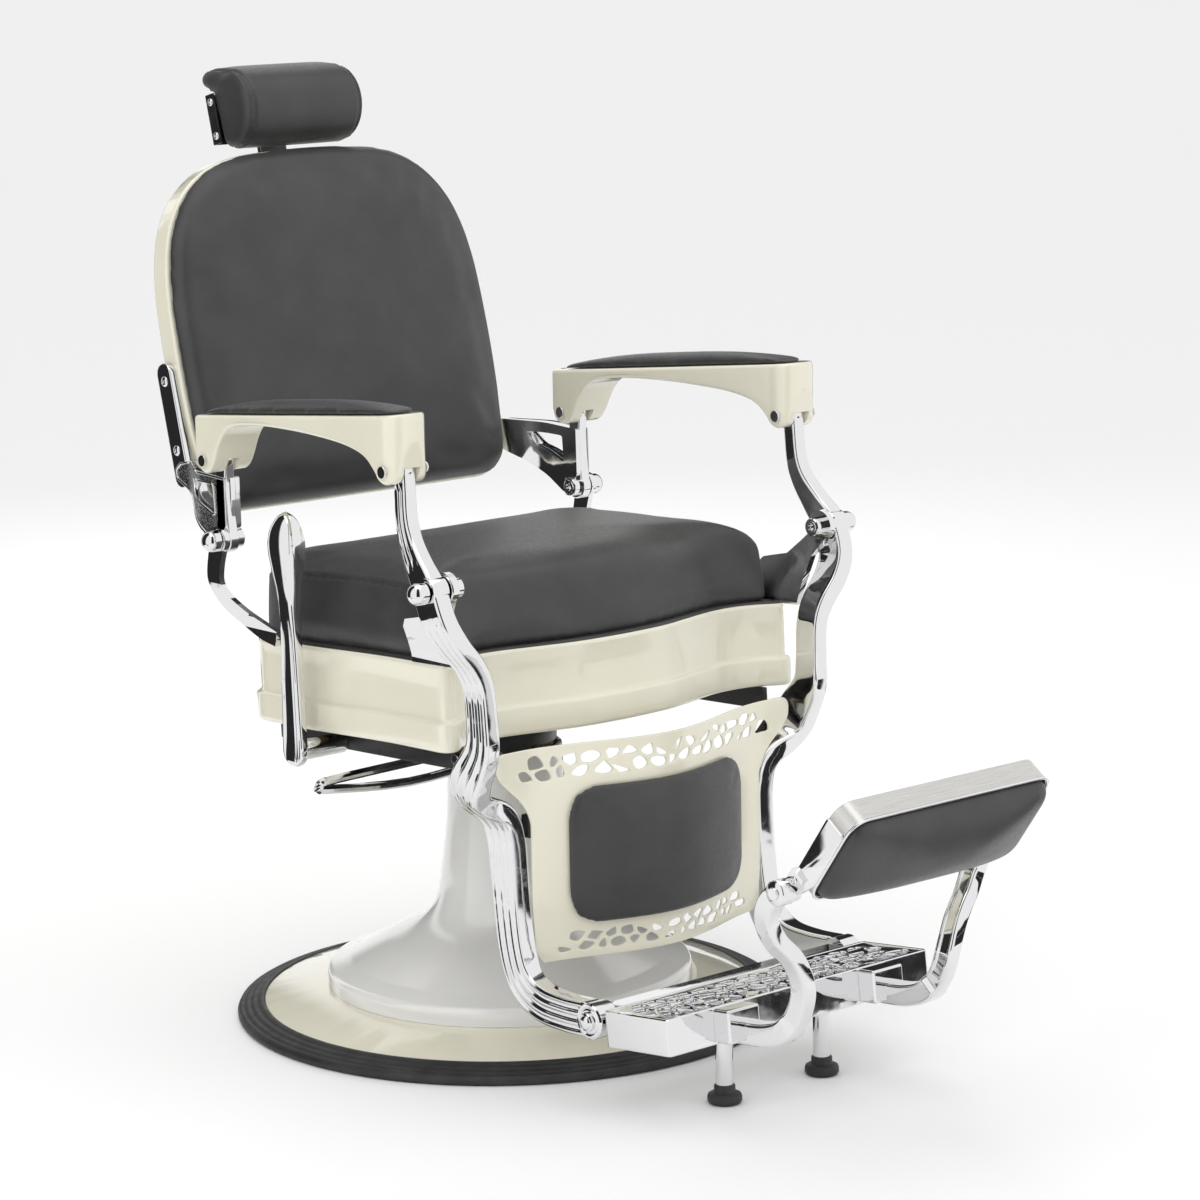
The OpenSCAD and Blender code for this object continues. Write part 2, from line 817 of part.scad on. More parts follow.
module leg_frame(side) {
    color([0.85, 0.86, 0.88])
        on_side(side)
            difference() {
                union() {
                    intersection() {
                        yz(160, 340)
                            polygon(strap(leg_side));
                        xz(-420, -160)
                            polygon(strap(leg_front));
                    }
                    x_pin(arm_front_pin, 12, arm_x0, arm_x1);
                    x_pin(front_pivot, 20, lever_x0, lever_x1);
                    x_pin(leg_bolt, 20, 176, 202);
                }
                x_pin(arm_front_pin, arm_pin_r + open_pin_gap, 270, 320);
                x_pin(front_pivot, pivot_r + slip, 270, 340);
                x_pin(leg_bolt, 6.02, 160, 220);
            }
}

module leg_bolts() {
    color([0.80, 0.80, 0.82])
        for (side = [1, -1])
            on_side(side) {
                x_pin(leg_bolt, 6, 160, 202);
                x_pin(leg_bolt, 11, 202, 208);
            }
}

module cross_bar() {
    color([0.12, 0.12, 0.12])
        translate([-175.8, panel_flat_y + 0.2, 282])
            cube([351.6, 14, 26]);
}

// ---- calf panel and pad ----

// Plan line of the calf panel's front face
function panel_y(x) = panel_flat_y - (abs(x) < panel_wave
    ? panel_bow / 2 * (1 + cos(180 * x / panel_wave)) : 0);

// Plan outline of a sheet that follows the panel, from d0 to d1 in front of its rear face
function panel_sheet(w, d0, d1) = concat(
    [for (x = [-w : 12 : w]) [x, panel_y(x) - d0]],
    [for (x = [w : -12 : -w]) [x, panel_y(x) - d1]]);

// Front view outline of the panel
panel_half = smooth([[224, 372], [222, 360], [210, 346], [188, 326], [176, 304], [174.5, 280], [174.5, 200],
    [172, 150]], 3);
panel_front = both(concat([[0, 385], [190, 385]], arc([212, 373], 12, 90, 10, 3), panel_half, [[162,
    136], [0, 136]]));

// One row of openings across the panel, at height z
module panel_openings(z) {
    for (x = [-132 : 33 : 132])
        translate([x, z + 5 * cos(x * 5)])
            rotate(30 * cos(x * 7))
                scale([1, 0.62])
                    circle(r = 12);
}

module calf_panel() {
    color([0.93, 0.90, 0.80])
        intersection() {
            xz(-320, -240)
                difference() {
                    polygon(panel_front);
                    panel_openings(360);
                    panel_openings(156);
                }
            translate([0, 0, 120])
                linear_extrude(280)
                    polygon(panel_sheet(228, 0, panel_t));
        }
}

module calf_pad() {
    color([0.17, 0.17, 0.17])
        intersection() {
            xz(-340, -240)
                polygon(round_rect(-134, 174, 134, 338, 30));
            translate([0, 0, 120])
                linear_extrude(280)
                    polygon(panel_sheet(144, panel_t + 0.3, panel_t + 18));
        }
}

// ---- footplate ----

module footplate_frame() {
    translate([0, -402, 78])
        rotate([-footplate_slope, 0, 0])
            children();
}

module footplate() {
    color([0.85, 0.86, 0.88])
        difference() {
            union() {
                footplate_frame() {
                    difference() {
                        translate([-footplate_half_w, -112, 0])
                            cube([2 * footplate_half_w, 106, 41]);
                        translate([-footplate_half_w + 5, -107, -1])
                            cube([2 * footplate_half_w - 10, 96, 37]);
                        for (x = [-168 : 28 : 168])
                            for (y = [-90, -60, -30])
                                translate([x, y, 30])
                                    cylinder(r = 7 + 2 * cos(x * 3 + y * 4), h = 20, $fn = 24);
                    }
                    translate([-174.8, -14, 0])
                        cube([349.6, 40, 41]);
                }
                for (x = [-foot_post[0], foot_post[0]])
                    translate([x, foot_post[1], 96])
                        cylinder(r = 16, h = 24);
            }
            for (x = [-foot_post[0], foot_post[0]])
                translate([x, foot_post[1], 90])
                    cylinder(r = 10.02, h = 28);
            x_pin(leg_bolt, 6.02, -180, -160);
            x_pin(leg_bolt, 6.02, 160, 180);
        }
}

module foot_posts() {
    color([0.85, 0.86, 0.88])
        for (x = [-foot_post[0], foot_post[0]])
            translate([x, foot_post[1], 18])
                cylinder(d = 20, h = 99.9);
}

module rubber_feet() {
    color([0.08, 0.08, 0.08])
        for (x = [-foot_post[0], foot_post[0]])
            translate([x, foot_post[1], 0])
                rotate_extrude()
                    polygon([[0, 1], [17, 1], [19.5, 4], [19.5, 12], [15, 18], [12, 19], [12, 24],
                        [10.02, 24],
                        [10.02, 18], [0, 18]]);
}

// ---- foot pad ----

pad_arm_path = smooth([[110, -522, 110], [109, -560, 110], [109, -595, 118], [109, -619, 142], [111,
    -628, 175],
    [124, -627, 206], [146, -622, 232], [159, -622, 258], [160, -634, 282], [160, -648, 292]], 4);

module pad_arm(side) {
    color([0.85, 0.86, 0.88])
        on_side(side)
            difference() {
                union() {
                    swept(pad_arm_path, 11, 12);
                    footplate_frame()
                        translate([87, -136, 4])
                            cube([47, 24, 33]);
                    x_pin(foot_pivot, 14, foot_pad_half_w + 0.6, 172);
                }
                x_pin(foot_pivot, 4 + slip, 150, 180);
                foot_frame()
                    translate([foot_pad_half_w - 29, -60, -40])
                        cube([29.5, 90, 80]);
            }
}

module foot_pad_tray() {
    color([0.78, 0.79, 0.80])
        foot_frame()
            difference() {
                union() {
                    linear_extrude(3)
                        polygon(round_rect(-foot_pad_half_w, -foot_pad_len, foot_pad_half_w, -16, 12));
                    translate([0, 0, -26])
                        linear_extrude(27)
                            difference() {
                                polygon(round_rect(-foot_pad_half_w, -foot_pad_len, foot_pad_half_w,
                                    -8, 24));
                                polygon(round_rect(-foot_pad_half_w + 2, -foot_pad_len + 2,
                                    foot_pad_half_w - 2, -10, 22));
                            }
                    for (x = [-foot_pad_half_w, foot_pad_half_w - 12])
                        yz(x, x + 12)
                            polygon(concat([[-50, 3], [-50, -8]], arc([0, 0], 12, 230, 450, 12), [[-20,
                                12]]));
                }
                x_pin([0, 0], 4.02, -180, 180);
            }
}

module foot_pad_cushion() {
    color([0.17, 0.17, 0.17])
        foot_frame()
            union() {
                translate([0, 0, -26])
                    linear_extrude(25.7)
                        polygon(round_rect(-foot_pad_half_w + 13, -foot_pad_len + 2.4,
                            foot_pad_half_w - 13, -15, 20));
                hull() {
                    translate([0, 0, -27])
                        linear_extrude(1)
                            polygon(round_rect(-foot_pad_half_w + 4, -foot_pad_len + 3,
                                foot_pad_half_w - 4, -15, 20));
                    translate([0, 0, -56])
                        linear_extrude(1)
                            polygon(round_rect(-foot_pad_half_w + 34, -foot_pad_len + 34,
                                foot_pad_half_w - 34, -34, 26));
                }
            }
}

module foot_pad_pins() {
    color([0.80, 0.80, 0.82])
        for (side = [1, -1])
            on_side(side) {
                x_pin(foot_pivot, 4, foot_pad_half_w - 12, 172);
                x_pin(foot_pivot, 7, 172, 175);
            }
}

floor_ring();
base_disc();
bell_cover();
guide_tube();
guide_bush();
thrust_bearing();
base_bolts();
piston_rod();
pump_cylinder();
cylinder_gland();
pump_head();
chassis();
seat_rails();
seat_board();
seat_skirt();
seat_cushion();
front_bracket(1);  // front_bracket_left
front_bracket(-1);  // front_bracket_right
rear_strut(1);  // rear_strut_left
rear_strut(-1);  // rear_strut_right
pivot_bolts();
seat_screws();
lever_sleeve();
recline_lever();
pump_pedal();
pedal_pin();
back_shell();
back_cushion();
back_bracket(1);  // back_bracket_left
back_bracket(-1);  // back_bracket_right
bracket_screws();
headrest_guide();
headrest_bar();
headrest_hinge_pin();
headrest_plate();
headrest_cushion();
headrest_screws();
armrest(1);  // armrest_left
armrest(-1);  // armrest_right
arm_pad(1);  // arm_pad_left
arm_pad(-1);  // arm_pad_right
arm_pins(1);  // arm_pins_left
arm_pins(-1);  // arm_pins_right
leg_frame(1);  // leg_frame_left
leg_frame(-1);  // leg_frame_right
cross_bar();
calf_panel();
calf_pad();
footplate();
leg_bolts();
foot_posts();
rubber_feet();
pad_arm(1);  // pad_arm_left
pad_arm(-1);  // pad_arm_right
foot_pad_tray();
foot_pad_cushion();
foot_pad_pins();
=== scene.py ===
import math
from contextlib import contextmanager

import bmesh
import bpy
import numpy as np
from mathutils import Matrix, Vector
from mathutils.bvhtree import BVHTree
from mathutils.kdtree import KDTree


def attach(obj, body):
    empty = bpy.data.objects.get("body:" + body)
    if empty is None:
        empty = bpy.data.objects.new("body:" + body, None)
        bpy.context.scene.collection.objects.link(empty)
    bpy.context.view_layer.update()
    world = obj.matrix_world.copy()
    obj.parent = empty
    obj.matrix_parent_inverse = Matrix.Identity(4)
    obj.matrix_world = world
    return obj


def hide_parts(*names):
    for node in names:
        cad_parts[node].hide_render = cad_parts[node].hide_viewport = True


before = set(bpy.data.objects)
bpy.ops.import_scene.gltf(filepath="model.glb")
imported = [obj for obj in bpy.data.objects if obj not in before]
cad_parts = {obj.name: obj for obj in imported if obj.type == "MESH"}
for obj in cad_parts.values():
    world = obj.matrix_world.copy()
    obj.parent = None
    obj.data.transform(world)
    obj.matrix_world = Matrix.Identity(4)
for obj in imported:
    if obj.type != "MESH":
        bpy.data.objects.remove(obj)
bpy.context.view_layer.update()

MM = 0.001
SIDES = {"left": 1, "right": -1}

# ---- curves, in millimetres ----


def smooth(points, n=6, closed=False):
    """Catmull-Rom curve through the points, n steps between neighbours."""
    p = np.array(points, float)
    count = len(p)
    out = []
    for i in range(count if closed else count - 1):
        if closed:
            a, b, c, d = (p[(i + k) % count] for k in (-1, 0, 1, 2))
        else:
            a, b, c, d = (p[min(max(i + k, 0), count - 1)] for k in (-1, 0, 1, 2))
        for t in np.arange(n) / n:
            out.append(0.5 * (2 * b + (c - a) * t + (2 * a - 5 * b + 4 * c - d) * t * t
                              + (3 * b - a - 3 * c + d) * t ** 3))
    if not closed:
        out.append(p[-1])
    return np.array(out)


def arc(centre, r, a0, a1, n=8):
    """Arc about centre from angle a0 to a1, in degrees."""
    a = np.radians(np.linspace(a0, a1, n + 1))
    return np.column_stack([centre[0] + r * np.cos(a), centre[1] + r * np.sin(a)])


def both(half):
    """A closed outline from its half at +X, which runs from the middle line to the middle line."""
    half = np.array(half, float)
    return np.vstack([half, half[-2:0:-1] * [-1, 1]])


def round_rect(x0, y0, x1, y1, r, n=8):
    return np.vstack([arc((x1 - r, y0 + r), r, -90, 0, n), arc((x1 - r, y1 - r), r, 0, 90, n),
                      arc((x0 + r, y1 - r), r, 90, 180, n), arc((x0 + r, y0 + r), r, 180, 270, n)])


def distances(path):
    """How far along a path each of its points is."""
    return np.r_[0, np.cumsum(np.linalg.norm(np.diff(path, axis=0), axis=1))]


def at_distance(t, path):
    """The point or points of a path at the distance or distances t along it."""
    return np.stack([np.interp(t, distances(path), path[:, k]) for k in range(path.shape[1])], axis=-1)


def even(outline, step):
    """A closed outline with its points at equal steps."""
    p = np.vstack([outline, outline[:1]])
    length = distances(p)[-1]
    return at_distance(np.arange(0, length, length / max(8, round(length / step))), p)


def even_path(path, step):
    """An open path with its points at equal steps."""
    p = np.array(path, float)
    length = distances(p)[-1]
    return at_distance(np.linspace(0, length, max(2, round(length / step) + 1)), p)


def grown(outline, d):
    """A closed outline that runs anticlockwise, moved outwards by d."""
    ahead, behind = np.roll(outline, -1, 0), np.roll(outline, 1, 0)
    t = ahead - behind
    t /= np.linalg.norm(t, axis=1)[:, None]
    return outline + np.reshape(d, (-1, 1)) * np.column_stack([t[:, 1], -t[:, 0]])


def stacked(outline, profile):
    """Rings along an outline in X and Y: it is grown by d, at height z, for each (d, z) of the profile."""
    return [np.column_stack([grown(outline, d), np.full(len(outline), z)]) for d, z in profile]


def upright(x, outline):
    """An outline in Y and Z that stands at x."""
    return np.column_stack([np.full(len(outline), x), outline])


def ramp(x, a, b):
    """0 before a, 1 after b, with a soft start and end."""
    t = np.clip((np.asarray(x, float) - a) / (b - a), 0, 1)
    return t * t * (3 - 2 * t)


# ---- the frames of the leaning parts, as part.scad has them ----


def leaning(y, z, degrees):
    return Matrix.Translation((0, y, z)) @ Matrix.Rotation(math.radians(degrees), 4, "X")


SEAT = leaning(-229, 389, -2.5)
BACK = leaning(254, 600, -14)
FOOT = leaning(-649, 293, -54)
PLATE = leaning(-402, 78, -6.2)
WORLD = Matrix.Identity(4)

# ---- camera, light and floor ----

scene = bpy.context.scene


def new_object(name, data):
    obj = bpy.data.objects.new(name, data)
    scene.collection.objects.link(obj)
    return obj


CAMERA_AT = (-2.857355, -3.498658, 1.346114)
CAMERA_TURN, CAMERA_PITCH, CAMERA_ROLL = -0.710683, 0.18627, -0.018317
camera = new_object("camera", bpy.data.cameras.new("camera"))
scene.camera = camera
camera.data.sensor_width = 36
camera.data.lens = 115.93
camera.data.clip_end = 300
camera.data.clip_start = 0.05
swing = Matrix.Rotation(CAMERA_TURN, 4, "Z") @ Matrix.Rotation(math.pi / 2 - CAMERA_PITCH, 4, "X")
camera.matrix_world = Matrix.Translation(CAMERA_AT) @ swing @ Matrix.Rotation(CAMERA_ROLL, 4, "Z")
scene.view_settings.view_transform = "Standard"


def softbox(name, at, aim, size, watts):
    light = bpy.data.lights.new(name, "AREA")
    light.shape = "RECTANGLE"
    light.size, light.size_y = size
    light.energy = watts
    lamp = new_object(name, light)
    lamp.location = at
    lamp.rotation_euler = (Vector(aim) - Vector(at)).to_track_quat("-Z", "Y").to_euler()


softbox("overhead_softbox", (-0.4, -0.4, 3.4), (0, 0, 0.5), (2.6, 2.6), 14)
softbox("key_softbox", (-3.2, -1.2, 2.0), (0, 0, 0.6), (1.0, 2.2), 16)
softbox("front_softbox", (1.0, -3.6, 1.7), (0, 0, 0.5), (1.6, 1.6), 8)
softbox("rim_softbox", (1.8, 2.6, 2.2), (0, 0, 0.7), (1.2, 2.0), 16)


def node(tree, kind, inputs, output=0, **settings):
    """A new shader node, and one of its outputs: each (socket, value) of inputs is set, or linked where the
    value is another node's output."""
    new = tree.nodes.new(kind)
    for key, value in settings.items():
        setattr(new, key, value)
    for socket, value in inputs:
        if isinstance(value, bpy.types.NodeSocket):
            tree.links.new(value, new.inputs[socket])
        else:
            new.inputs[socket].default_value = value
    return new.outputs[output] if new.outputs else None


def axes_of(tree, coordinate):
    """The X, Y and Z of a texture coordinate."""
    split = tree.nodes.new("ShaderNodeSeparateXYZ")
    tree.links.new(node(tree, "ShaderNodeTexCoord", (), coordinate), split.inputs[0])
    return split.outputs


def azimuth(tree, axes, scale, shift):
    """The angle about Z, in radians, times scale, plus shift."""
    angle = node(tree, "ShaderNodeMath", ((0, axes["Y"]), (1, axes["X"])), operation="ARCTAN2")
    return node(tree, "ShaderNodeMath", ((0, angle), (1, scale), (2, shift)), operation="MULTIPLY_ADD")


def soft_step(tree, value, start, end):
    return node(tree, "ShaderNodeMapRange", (("From Min", start), ("From Max", end), ("Value", value)),
                interpolation_type="SMOOTHSTEP")


def studio_sky():
    """White room with dark gaps between its lit panels, which the chrome mirrors."""
    world = bpy.data.worlds.new("studio")
    scene.world = world
    world.use_nodes = True
    tree = world.node_tree
    tree.nodes.clear()
    axes = axes_of(tree, "Generated")
    wave = node(tree, "ShaderNodeMath", ((0, azimuth(tree, axes, 4, 1.1)),), operation="SINE")
    gap = soft_step(tree, wave, -0.1, 0.3)
    low = soft_step(tree, axes["Z"], 0.62, 0.4)
    dark = node(tree, "ShaderNodeMath", ((0, gap), (1, low)), operation="MULTIPLY")
    tone = node(tree, "ShaderNodeMix",
                (("A", (1.0, 1.0, 1.0, 1)), ("B", (0.02, 0.02, 0.022, 1)), ("Factor", dark)),
                "Result", data_type="RGBA")
    sky = node(tree, "ShaderNodeBackground", (("Strength", 1.06), ("Color", tone)))
    node(tree, "ShaderNodeOutputWorld", (("Surface", sky),))


studio_sky()


def studio_wall(name, low, high, bands):
    """A round wall from (radius, height) low to high that only reflections see: white, with soft dark bands
    between pairs of azimuths."""
    mesh = bpy.data.meshes.new(name)
    turns = np.radians(np.arange(0, 360, 2))
    count = len(turns)
    mesh.from_pydata([(r * math.cos(a), r * math.sin(a), z) for r, z in (low, high) for a in turns], [],
                     [(i, (i + 1) % count, count + (i + 1) % count, count + i) for i in range(count)])
    wall = new_object(name, mesh)
    mat = bpy.data.materials.new(name)
    mat.use_nodes = True
    tree = mat.node_tree
    shader = tree.nodes["Principled BSDF"]
    shader.inputs["Base Color"].default_value = (0, 0, 0, 1)
    shader.inputs["Specular IOR Level"].default_value = 0
    shader.inputs["Emission Strength"].default_value = 1
    tones = tree.nodes.new("ShaderNodeValToRGB")
    tones.color_ramp.interpolation = "EASE"
    tree.links.new(azimuth(tree, axes_of(tree, "Object"), 0.5 / math.pi, 0.5), tones.inputs[0])
    stops = tones.color_ramp.elements
    stops[0].color = stops[1].color = (1, 1, 1, 1)
    for start, end in bands:
        for turn, glow in ((start - BAND_EDGE, 1), (start + BAND_EDGE, DARK_GLOW),
                           (end - BAND_EDGE, DARK_GLOW), (end + BAND_EDGE, 1)):
            stops.new(turn / 360 + 0.5).color = (glow, glow, glow, 1)
    tree.links.new(tones.outputs[0], shader.inputs["Emission Color"])
    mat.cycles.emission_sampling = "NONE"
    mesh.materials.append(mat)
    for ray in ("camera", "diffuse", "transmission", "shadow"):
        setattr(wall, "visible_" + ray, False)


DARK_GLOW, BAND_EDGE = 0.025, 3
studio_wall("studio_wall", (2.05, 0.0), (2.05, 4.2), ((104, 158), (-146, -118), (18, 42), (72, 90)))
studio_wall("studio_floor_far", (2.04, 0.003), (1.5, 0.003), ((104, 158), (-70, -44), (30, 60)))
studio_wall("studio_floor_near", (1.49, 0.003), (1.1, 0.003), ((-70, -44), (-30, -20), (30, 60), (164, 174)))

# ---- materials ----


class Look:
    """A node material built around one Principled shader."""

    def __init__(self, name, colour, rough, metal=0.0, coat=0.0, sheen=0.0):
        self.mat = bpy.data.materials.new(name)
        self.mat.use_nodes = True
        self.tree = self.mat.node_tree
        self.shader = self.tree.nodes["Principled BSDF"]
        self.set("Base Color", (*colour, 1))
        self.set("Roughness", rough)
        self.set("Metallic", metal)
        self.set("Coat Weight", coat)
        self.set("Coat Roughness", 0.04)
        self.set("Sheen Weight", sheen)
        self.mat.diffuse_color = (*colour, 1)
        self.coord = node(self.tree, "ShaderNodeTexCoord", (), "Object")
        self.height = None

    def set(self, socket, value):
        self.shader.inputs[socket].default_value = value

    def drive(self, socket, output):
        self.tree.links.new(output, self.shader.inputs[socket])

    def noise(self, size, detail=3.0, stretch=(1, 1, 1), kind="ShaderNodeTexNoise"):
        """A noise whose grains are about size metres."""
        place = node(self.tree, "ShaderNodeMapping", (("Scale", stretch), ("Vector", self.coord)))
        output = "Distance" if kind == "ShaderNodeTexVoronoi" else "Fac"
        return node(self.tree, kind, (("Scale", 1 / size), ("Detail", detail), ("Vector", place)), output)

    def spread(self, value, low, high, start=0.3, end=0.7):
        """value between start and end, spread over low to high."""
        return node(self.tree, "ShaderNodeMapRange",
                    (("From Min", start), ("From Max", end), ("To Min", low), ("To Max", high),
                     ("Value", value)))

    def vary(self, value, dark, light):
        """The base colour runs from dark to light with value."""
        self.drive("Base Color", node(self.tree, "ShaderNodeMix",
                                      (("A", (*dark, 1)), ("B", (*light, 1)), ("Factor", value)),
                                      "Result", data_type="RGBA"))

    def rough(self, value):
        self.drive("Roughness", value)

    def bump(self, value, depth, strength=1.0):
        """Adds a bump of that depth in metres."""
        below = [("Normal", self.height)] if self.height else []
        self.height = node(self.tree, "ShaderNodeBump",
                           [("Distance", depth), ("Strength", strength), ("Height", value), *below])
        self.drive("Normal", self.height)


def enamel(name, dark, light):
    look = Look(name, light, 0.22, coat=1.0)
    look.vary(look.spread(look.noise(0.16, 2), 0, 1), dark, light)
    look.rough(look.spread(look.noise(0.03), 0.16, 0.26))
    look.bump(look.noise(0.012, 2), 0.00006)
    return look.mat


def chrome(name):
    look = Look(name, (0.8, 0.8, 0.808), 0.05, metal=1.0)
    look.rough(look.spread(look.noise(0.02, 5), 0.025, 0.085))
    look.bump(look.noise(0.035, 2), 0.0003)
    return look.mat


def vinyl(name):
    look = Look(name, (0.036, 0.036, 0.037), 0.42, sheen=0.12)
    look.set("Sheen Roughness", 0.4)
    look.set("Specular IOR Level", 0.55)
    look.vary(look.spread(look.noise(0.05, 3), 0, 1), (0.030, 0.030, 0.031), (0.043, 0.043, 0.044))
    look.rough(look.spread(look.noise(0.004, 4), 0.36, 0.5))
    look.bump(look.noise(0.05, 2), 0.0003, 0.5)
    look.bump(look.noise(0.0011, 2, kind="ShaderNodeTexVoronoi"), 0.00008, 0.5)
    look.bump(look.noise(0.0004, 3), 0.00003, 0.4)
    return look.mat


def rubber(name):
    look = Look(name, (0.018, 0.018, 0.019), 0.55)
    look.rough(look.spread(look.noise(0.01, 4), 0.45, 0.65))
    look.vary(look.spread(look.noise(0.02), 0, 1), (0.012, 0.012, 0.013), (0.03, 0.03, 0.03))
    look.bump(look.noise(0.0008, 3), 0.00006)
    return look.mat


def black_paint(name):
    look = Look(name, (0.012, 0.012, 0.012), 0.34)
    look.rough(look.spread(look.noise(0.01, 4), 0.26, 0.42))
    look.vary(look.spread(look.noise(0.03), 0, 1), (0.009, 0.009, 0.009), (0.02, 0.02, 0.02))
    look.bump(look.noise(0.0012, 2), 0.00005)
    return look.mat


def brushed(name, stretch):
    look = Look(name, (0.66, 0.65, 0.63), 0.3, metal=1.0)
    lines = look.noise(0.0007, 4, stretch)
    look.vary(look.spread(lines, 0, 1), (0.56, 0.55, 0.53), (0.68, 0.67, 0.645))
    look.rough(look.spread(lines, 0.24, 0.36))
    look.bump(lines, 0.000012)
    return look.mat


def speckled(name):
    """The sand-cast ground between the polished rims of a casting."""
    look = Look(name, (0.4, 0.4, 0.4), 0.3, metal=1.0)
    grains = look.noise(0.0016, 2)
    look.vary(look.spread(grains, 0, 1, 0.42, 0.58), (0.015, 0.015, 0.015), (0.75, 0.75, 0.75))
    look.bump(grains, 0.0008)
    return look.mat


def wood(name):
    look = Look(name, (0.5, 0.34, 0.18), 0.6)
    grain = look.noise(0.006, 5, (1, 0.08, 1))
    look.vary(look.spread(grain, 0, 1), (0.34, 0.22, 0.11), (0.58, 0.42, 0.25))
    look.bump(grain, 0.0002)
    return look.mat


def plain_metal(name, colour, rough):
    look = Look(name, colour, rough, metal=1.0)
    turned = look.noise(0.002, 4, (1, 1, 6))
    look.rough(look.spread(turned, rough * 0.7, rough * 1.4))
    look.vary(look.spread(look.noise(0.02), 0, 1), [c * 0.82 for c in colour], colour)
    look.bump(turned, 0.00003)
    return look.mat


def thread(name):
    look = Look(name, (0.02, 0.02, 0.02), 0.6, sheen=0.3)
    look.rough(look.spread(look.noise(0.001), 0.5, 0.7))
    look.bump(look.noise(0.0005), 0.0001)
    return look.mat


MATERIALS = {
    "black_rubber": rubber("moulded_rubber"),
    "cream_enamel": enamel("cream_enamel", (0.83, 0.795, 0.645), (0.86, 0.83, 0.685)),
    "pale_enamel": enamel("pale_enamel", (0.86, 0.855, 0.825), (0.89, 0.885, 0.86)),
    "dark_steel": plain_metal("oiled_steel", (0.30, 0.30, 0.31), 0.35),
    "bronze": plain_metal("turned_bronze", (0.60, 0.42, 0.18), 0.25),
    "hard_chrome": plain_metal("ground_rod", (0.82, 0.82, 0.83), 0.12),
    "black_paint": black_paint("satin_black_paint"),
    "plywood": wood("plywood"),
    "black_vinyl": vinyl("black_vinyl"),
    "brushed_band": brushed("brushed_band", (0.02, 1, 1)),
    "polished_chrome": chrome("polished_chrome"),
}
CAST_GROUND = speckled("cast_ground")
THREAD = thread("black_thread")
CHROME, CREAM, VINYL = "polished_chrome", "cream_enamel", "black_vinyl"

# ---- making pieces ----


def piece(name, verts, faces, slot, body, stands_for=(), crease=35, place=WORLD, material=None):
    """A mesh from points in millimetres in the frame called place."""
    mesh = bpy.data.meshes.new(name)
    mesh.from_pydata([(place @ Vector(v)) * MM for v in verts], [], faces)
    finish_mesh(mesh, crease)
    obj = new_object(name, mesh)
    mesh.materials.append(material or MATERIALS[slot])
    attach(obj, body)
    if stands_for:
        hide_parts(*([stands_for] if isinstance(stands_for, str) else stands_for))
    return obj


@contextmanager
def editing(mesh):
    """A mesh as a BMesh, which is written back at the end."""
    bm = bmesh.new()
    bm.from_mesh(mesh)
    yield bm
    bm.to_mesh(mesh)
    bm.free()


def finish_mesh(mesh, crease):
    """Outward normals, smooth faces, and sharp edges above an angle in degrees."""
    with editing(mesh) as bm:
        bmesh.ops.remove_doubles(bm, verts=bm.verts, dist=1e-6)
        bmesh.ops.recalc_face_normals(bm, faces=bm.faces)
    mesh.shade_smooth()
    mesh.set_sharp_from_angle(angle=math.radians(crease))


def skin(rings, wrap=False, caps=True):
    """Points and faces of a skin over rings that all have the same number of points."""
    rings = [np.asarray(r, float) for r in rings]
    n = len(rings[0])
    verts = [tuple(p) for r in rings for p in r]
    faces = []
    for i in range(len(rings) if wrap else len(rings) - 1):
        a, b = i * n, (i + 1) % len(rings) * n
        faces += [(a + k, a + (k + 1) % n, b + (k + 1) % n, b + k) for k in range(n)]
    if caps and not wrap:
        last = (len(rings) - 1) * n
        faces += [tuple(range(n))[::-1], tuple(range(last, last + n))]
    return verts, faces


def join(*meshes):
    """Several (points, faces) as one."""
    verts, faces = [], []
    for v, f in meshes:
        faces += [tuple(i + len(verts) for i in face) for face in f]
        verts += list(v)
    return verts, faces


def mirror(mesh, side):
    verts, faces = mesh
    return [(v[0] * side, v[1], v[2]) for v in verts], faces


def lathe(profile, n=160, centre=(0, 0)):
    """A closed profile of (radius, z) turned about a vertical axis."""
    a = np.linspace(0, 2 * math.pi, n, endpoint=False)
    rings = [np.column_stack([centre[0] + r * np.cos(a), centre[1] + r * np.sin(a), np.full(n, z)])
             for r, z in profile]
    return skin(rings, wrap=True)


def turned(centre, profile, way=1, n=48):
    """A solid turned about X: profile is (radius, distance along X) and starts and ends on the axis."""
    a = np.linspace(0, 2 * math.pi, n, endpoint=False)
    circle = np.column_stack([np.cos(a), np.sin(a)])
    return skin([upright(centre[0] + way * x, centre[1:] + max(r, 0.01) * circle) for r, x in profile])


def box(lo, hi):
    x0, y0, z0 = lo
    x1, y1, z1 = hi
    ring = [(x0, y0), (x1, y0), (x1, y1), (x0, y1)]
    return skin([[(x, y, z) for x, y in ring] for z in (z0, z1)])


def modifier(obj, kind, **settings):
    m = obj.modifiers.new(kind.lower(), kind)
    for key, value in settings.items():
        setattr(m, key, value)
    return m


def rounded(obj, width):
    """Rounds the sharp edges of an object by width, in millimetres."""
    modifier(obj, "BEVEL", width=width * MM, segments=3, limit_method="ANGLE", angle_limit=math.radians(30),
             harden_normals=True, miter_outer="MITER_ARC", use_clamp_overlap=True)
    return obj


def keep(cad_node, slot, edge):
    """A CAD node stays as it is, with a better material and edges rounded by edge, in millimetres."""
    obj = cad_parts[cad_node]
    obj.data.materials.clear()
    obj.data.materials.append(MATERIALS[slot])
    modifier(obj, "WELD", merge_threshold=1e-5)
    if edge:
        modifier(obj, "DECIMATE", decimate_type="DISSOLVE", angle_limit=math.radians(0.5))
        rounded(obj, edge)


# ---- CAD nodes that keep their shape ----

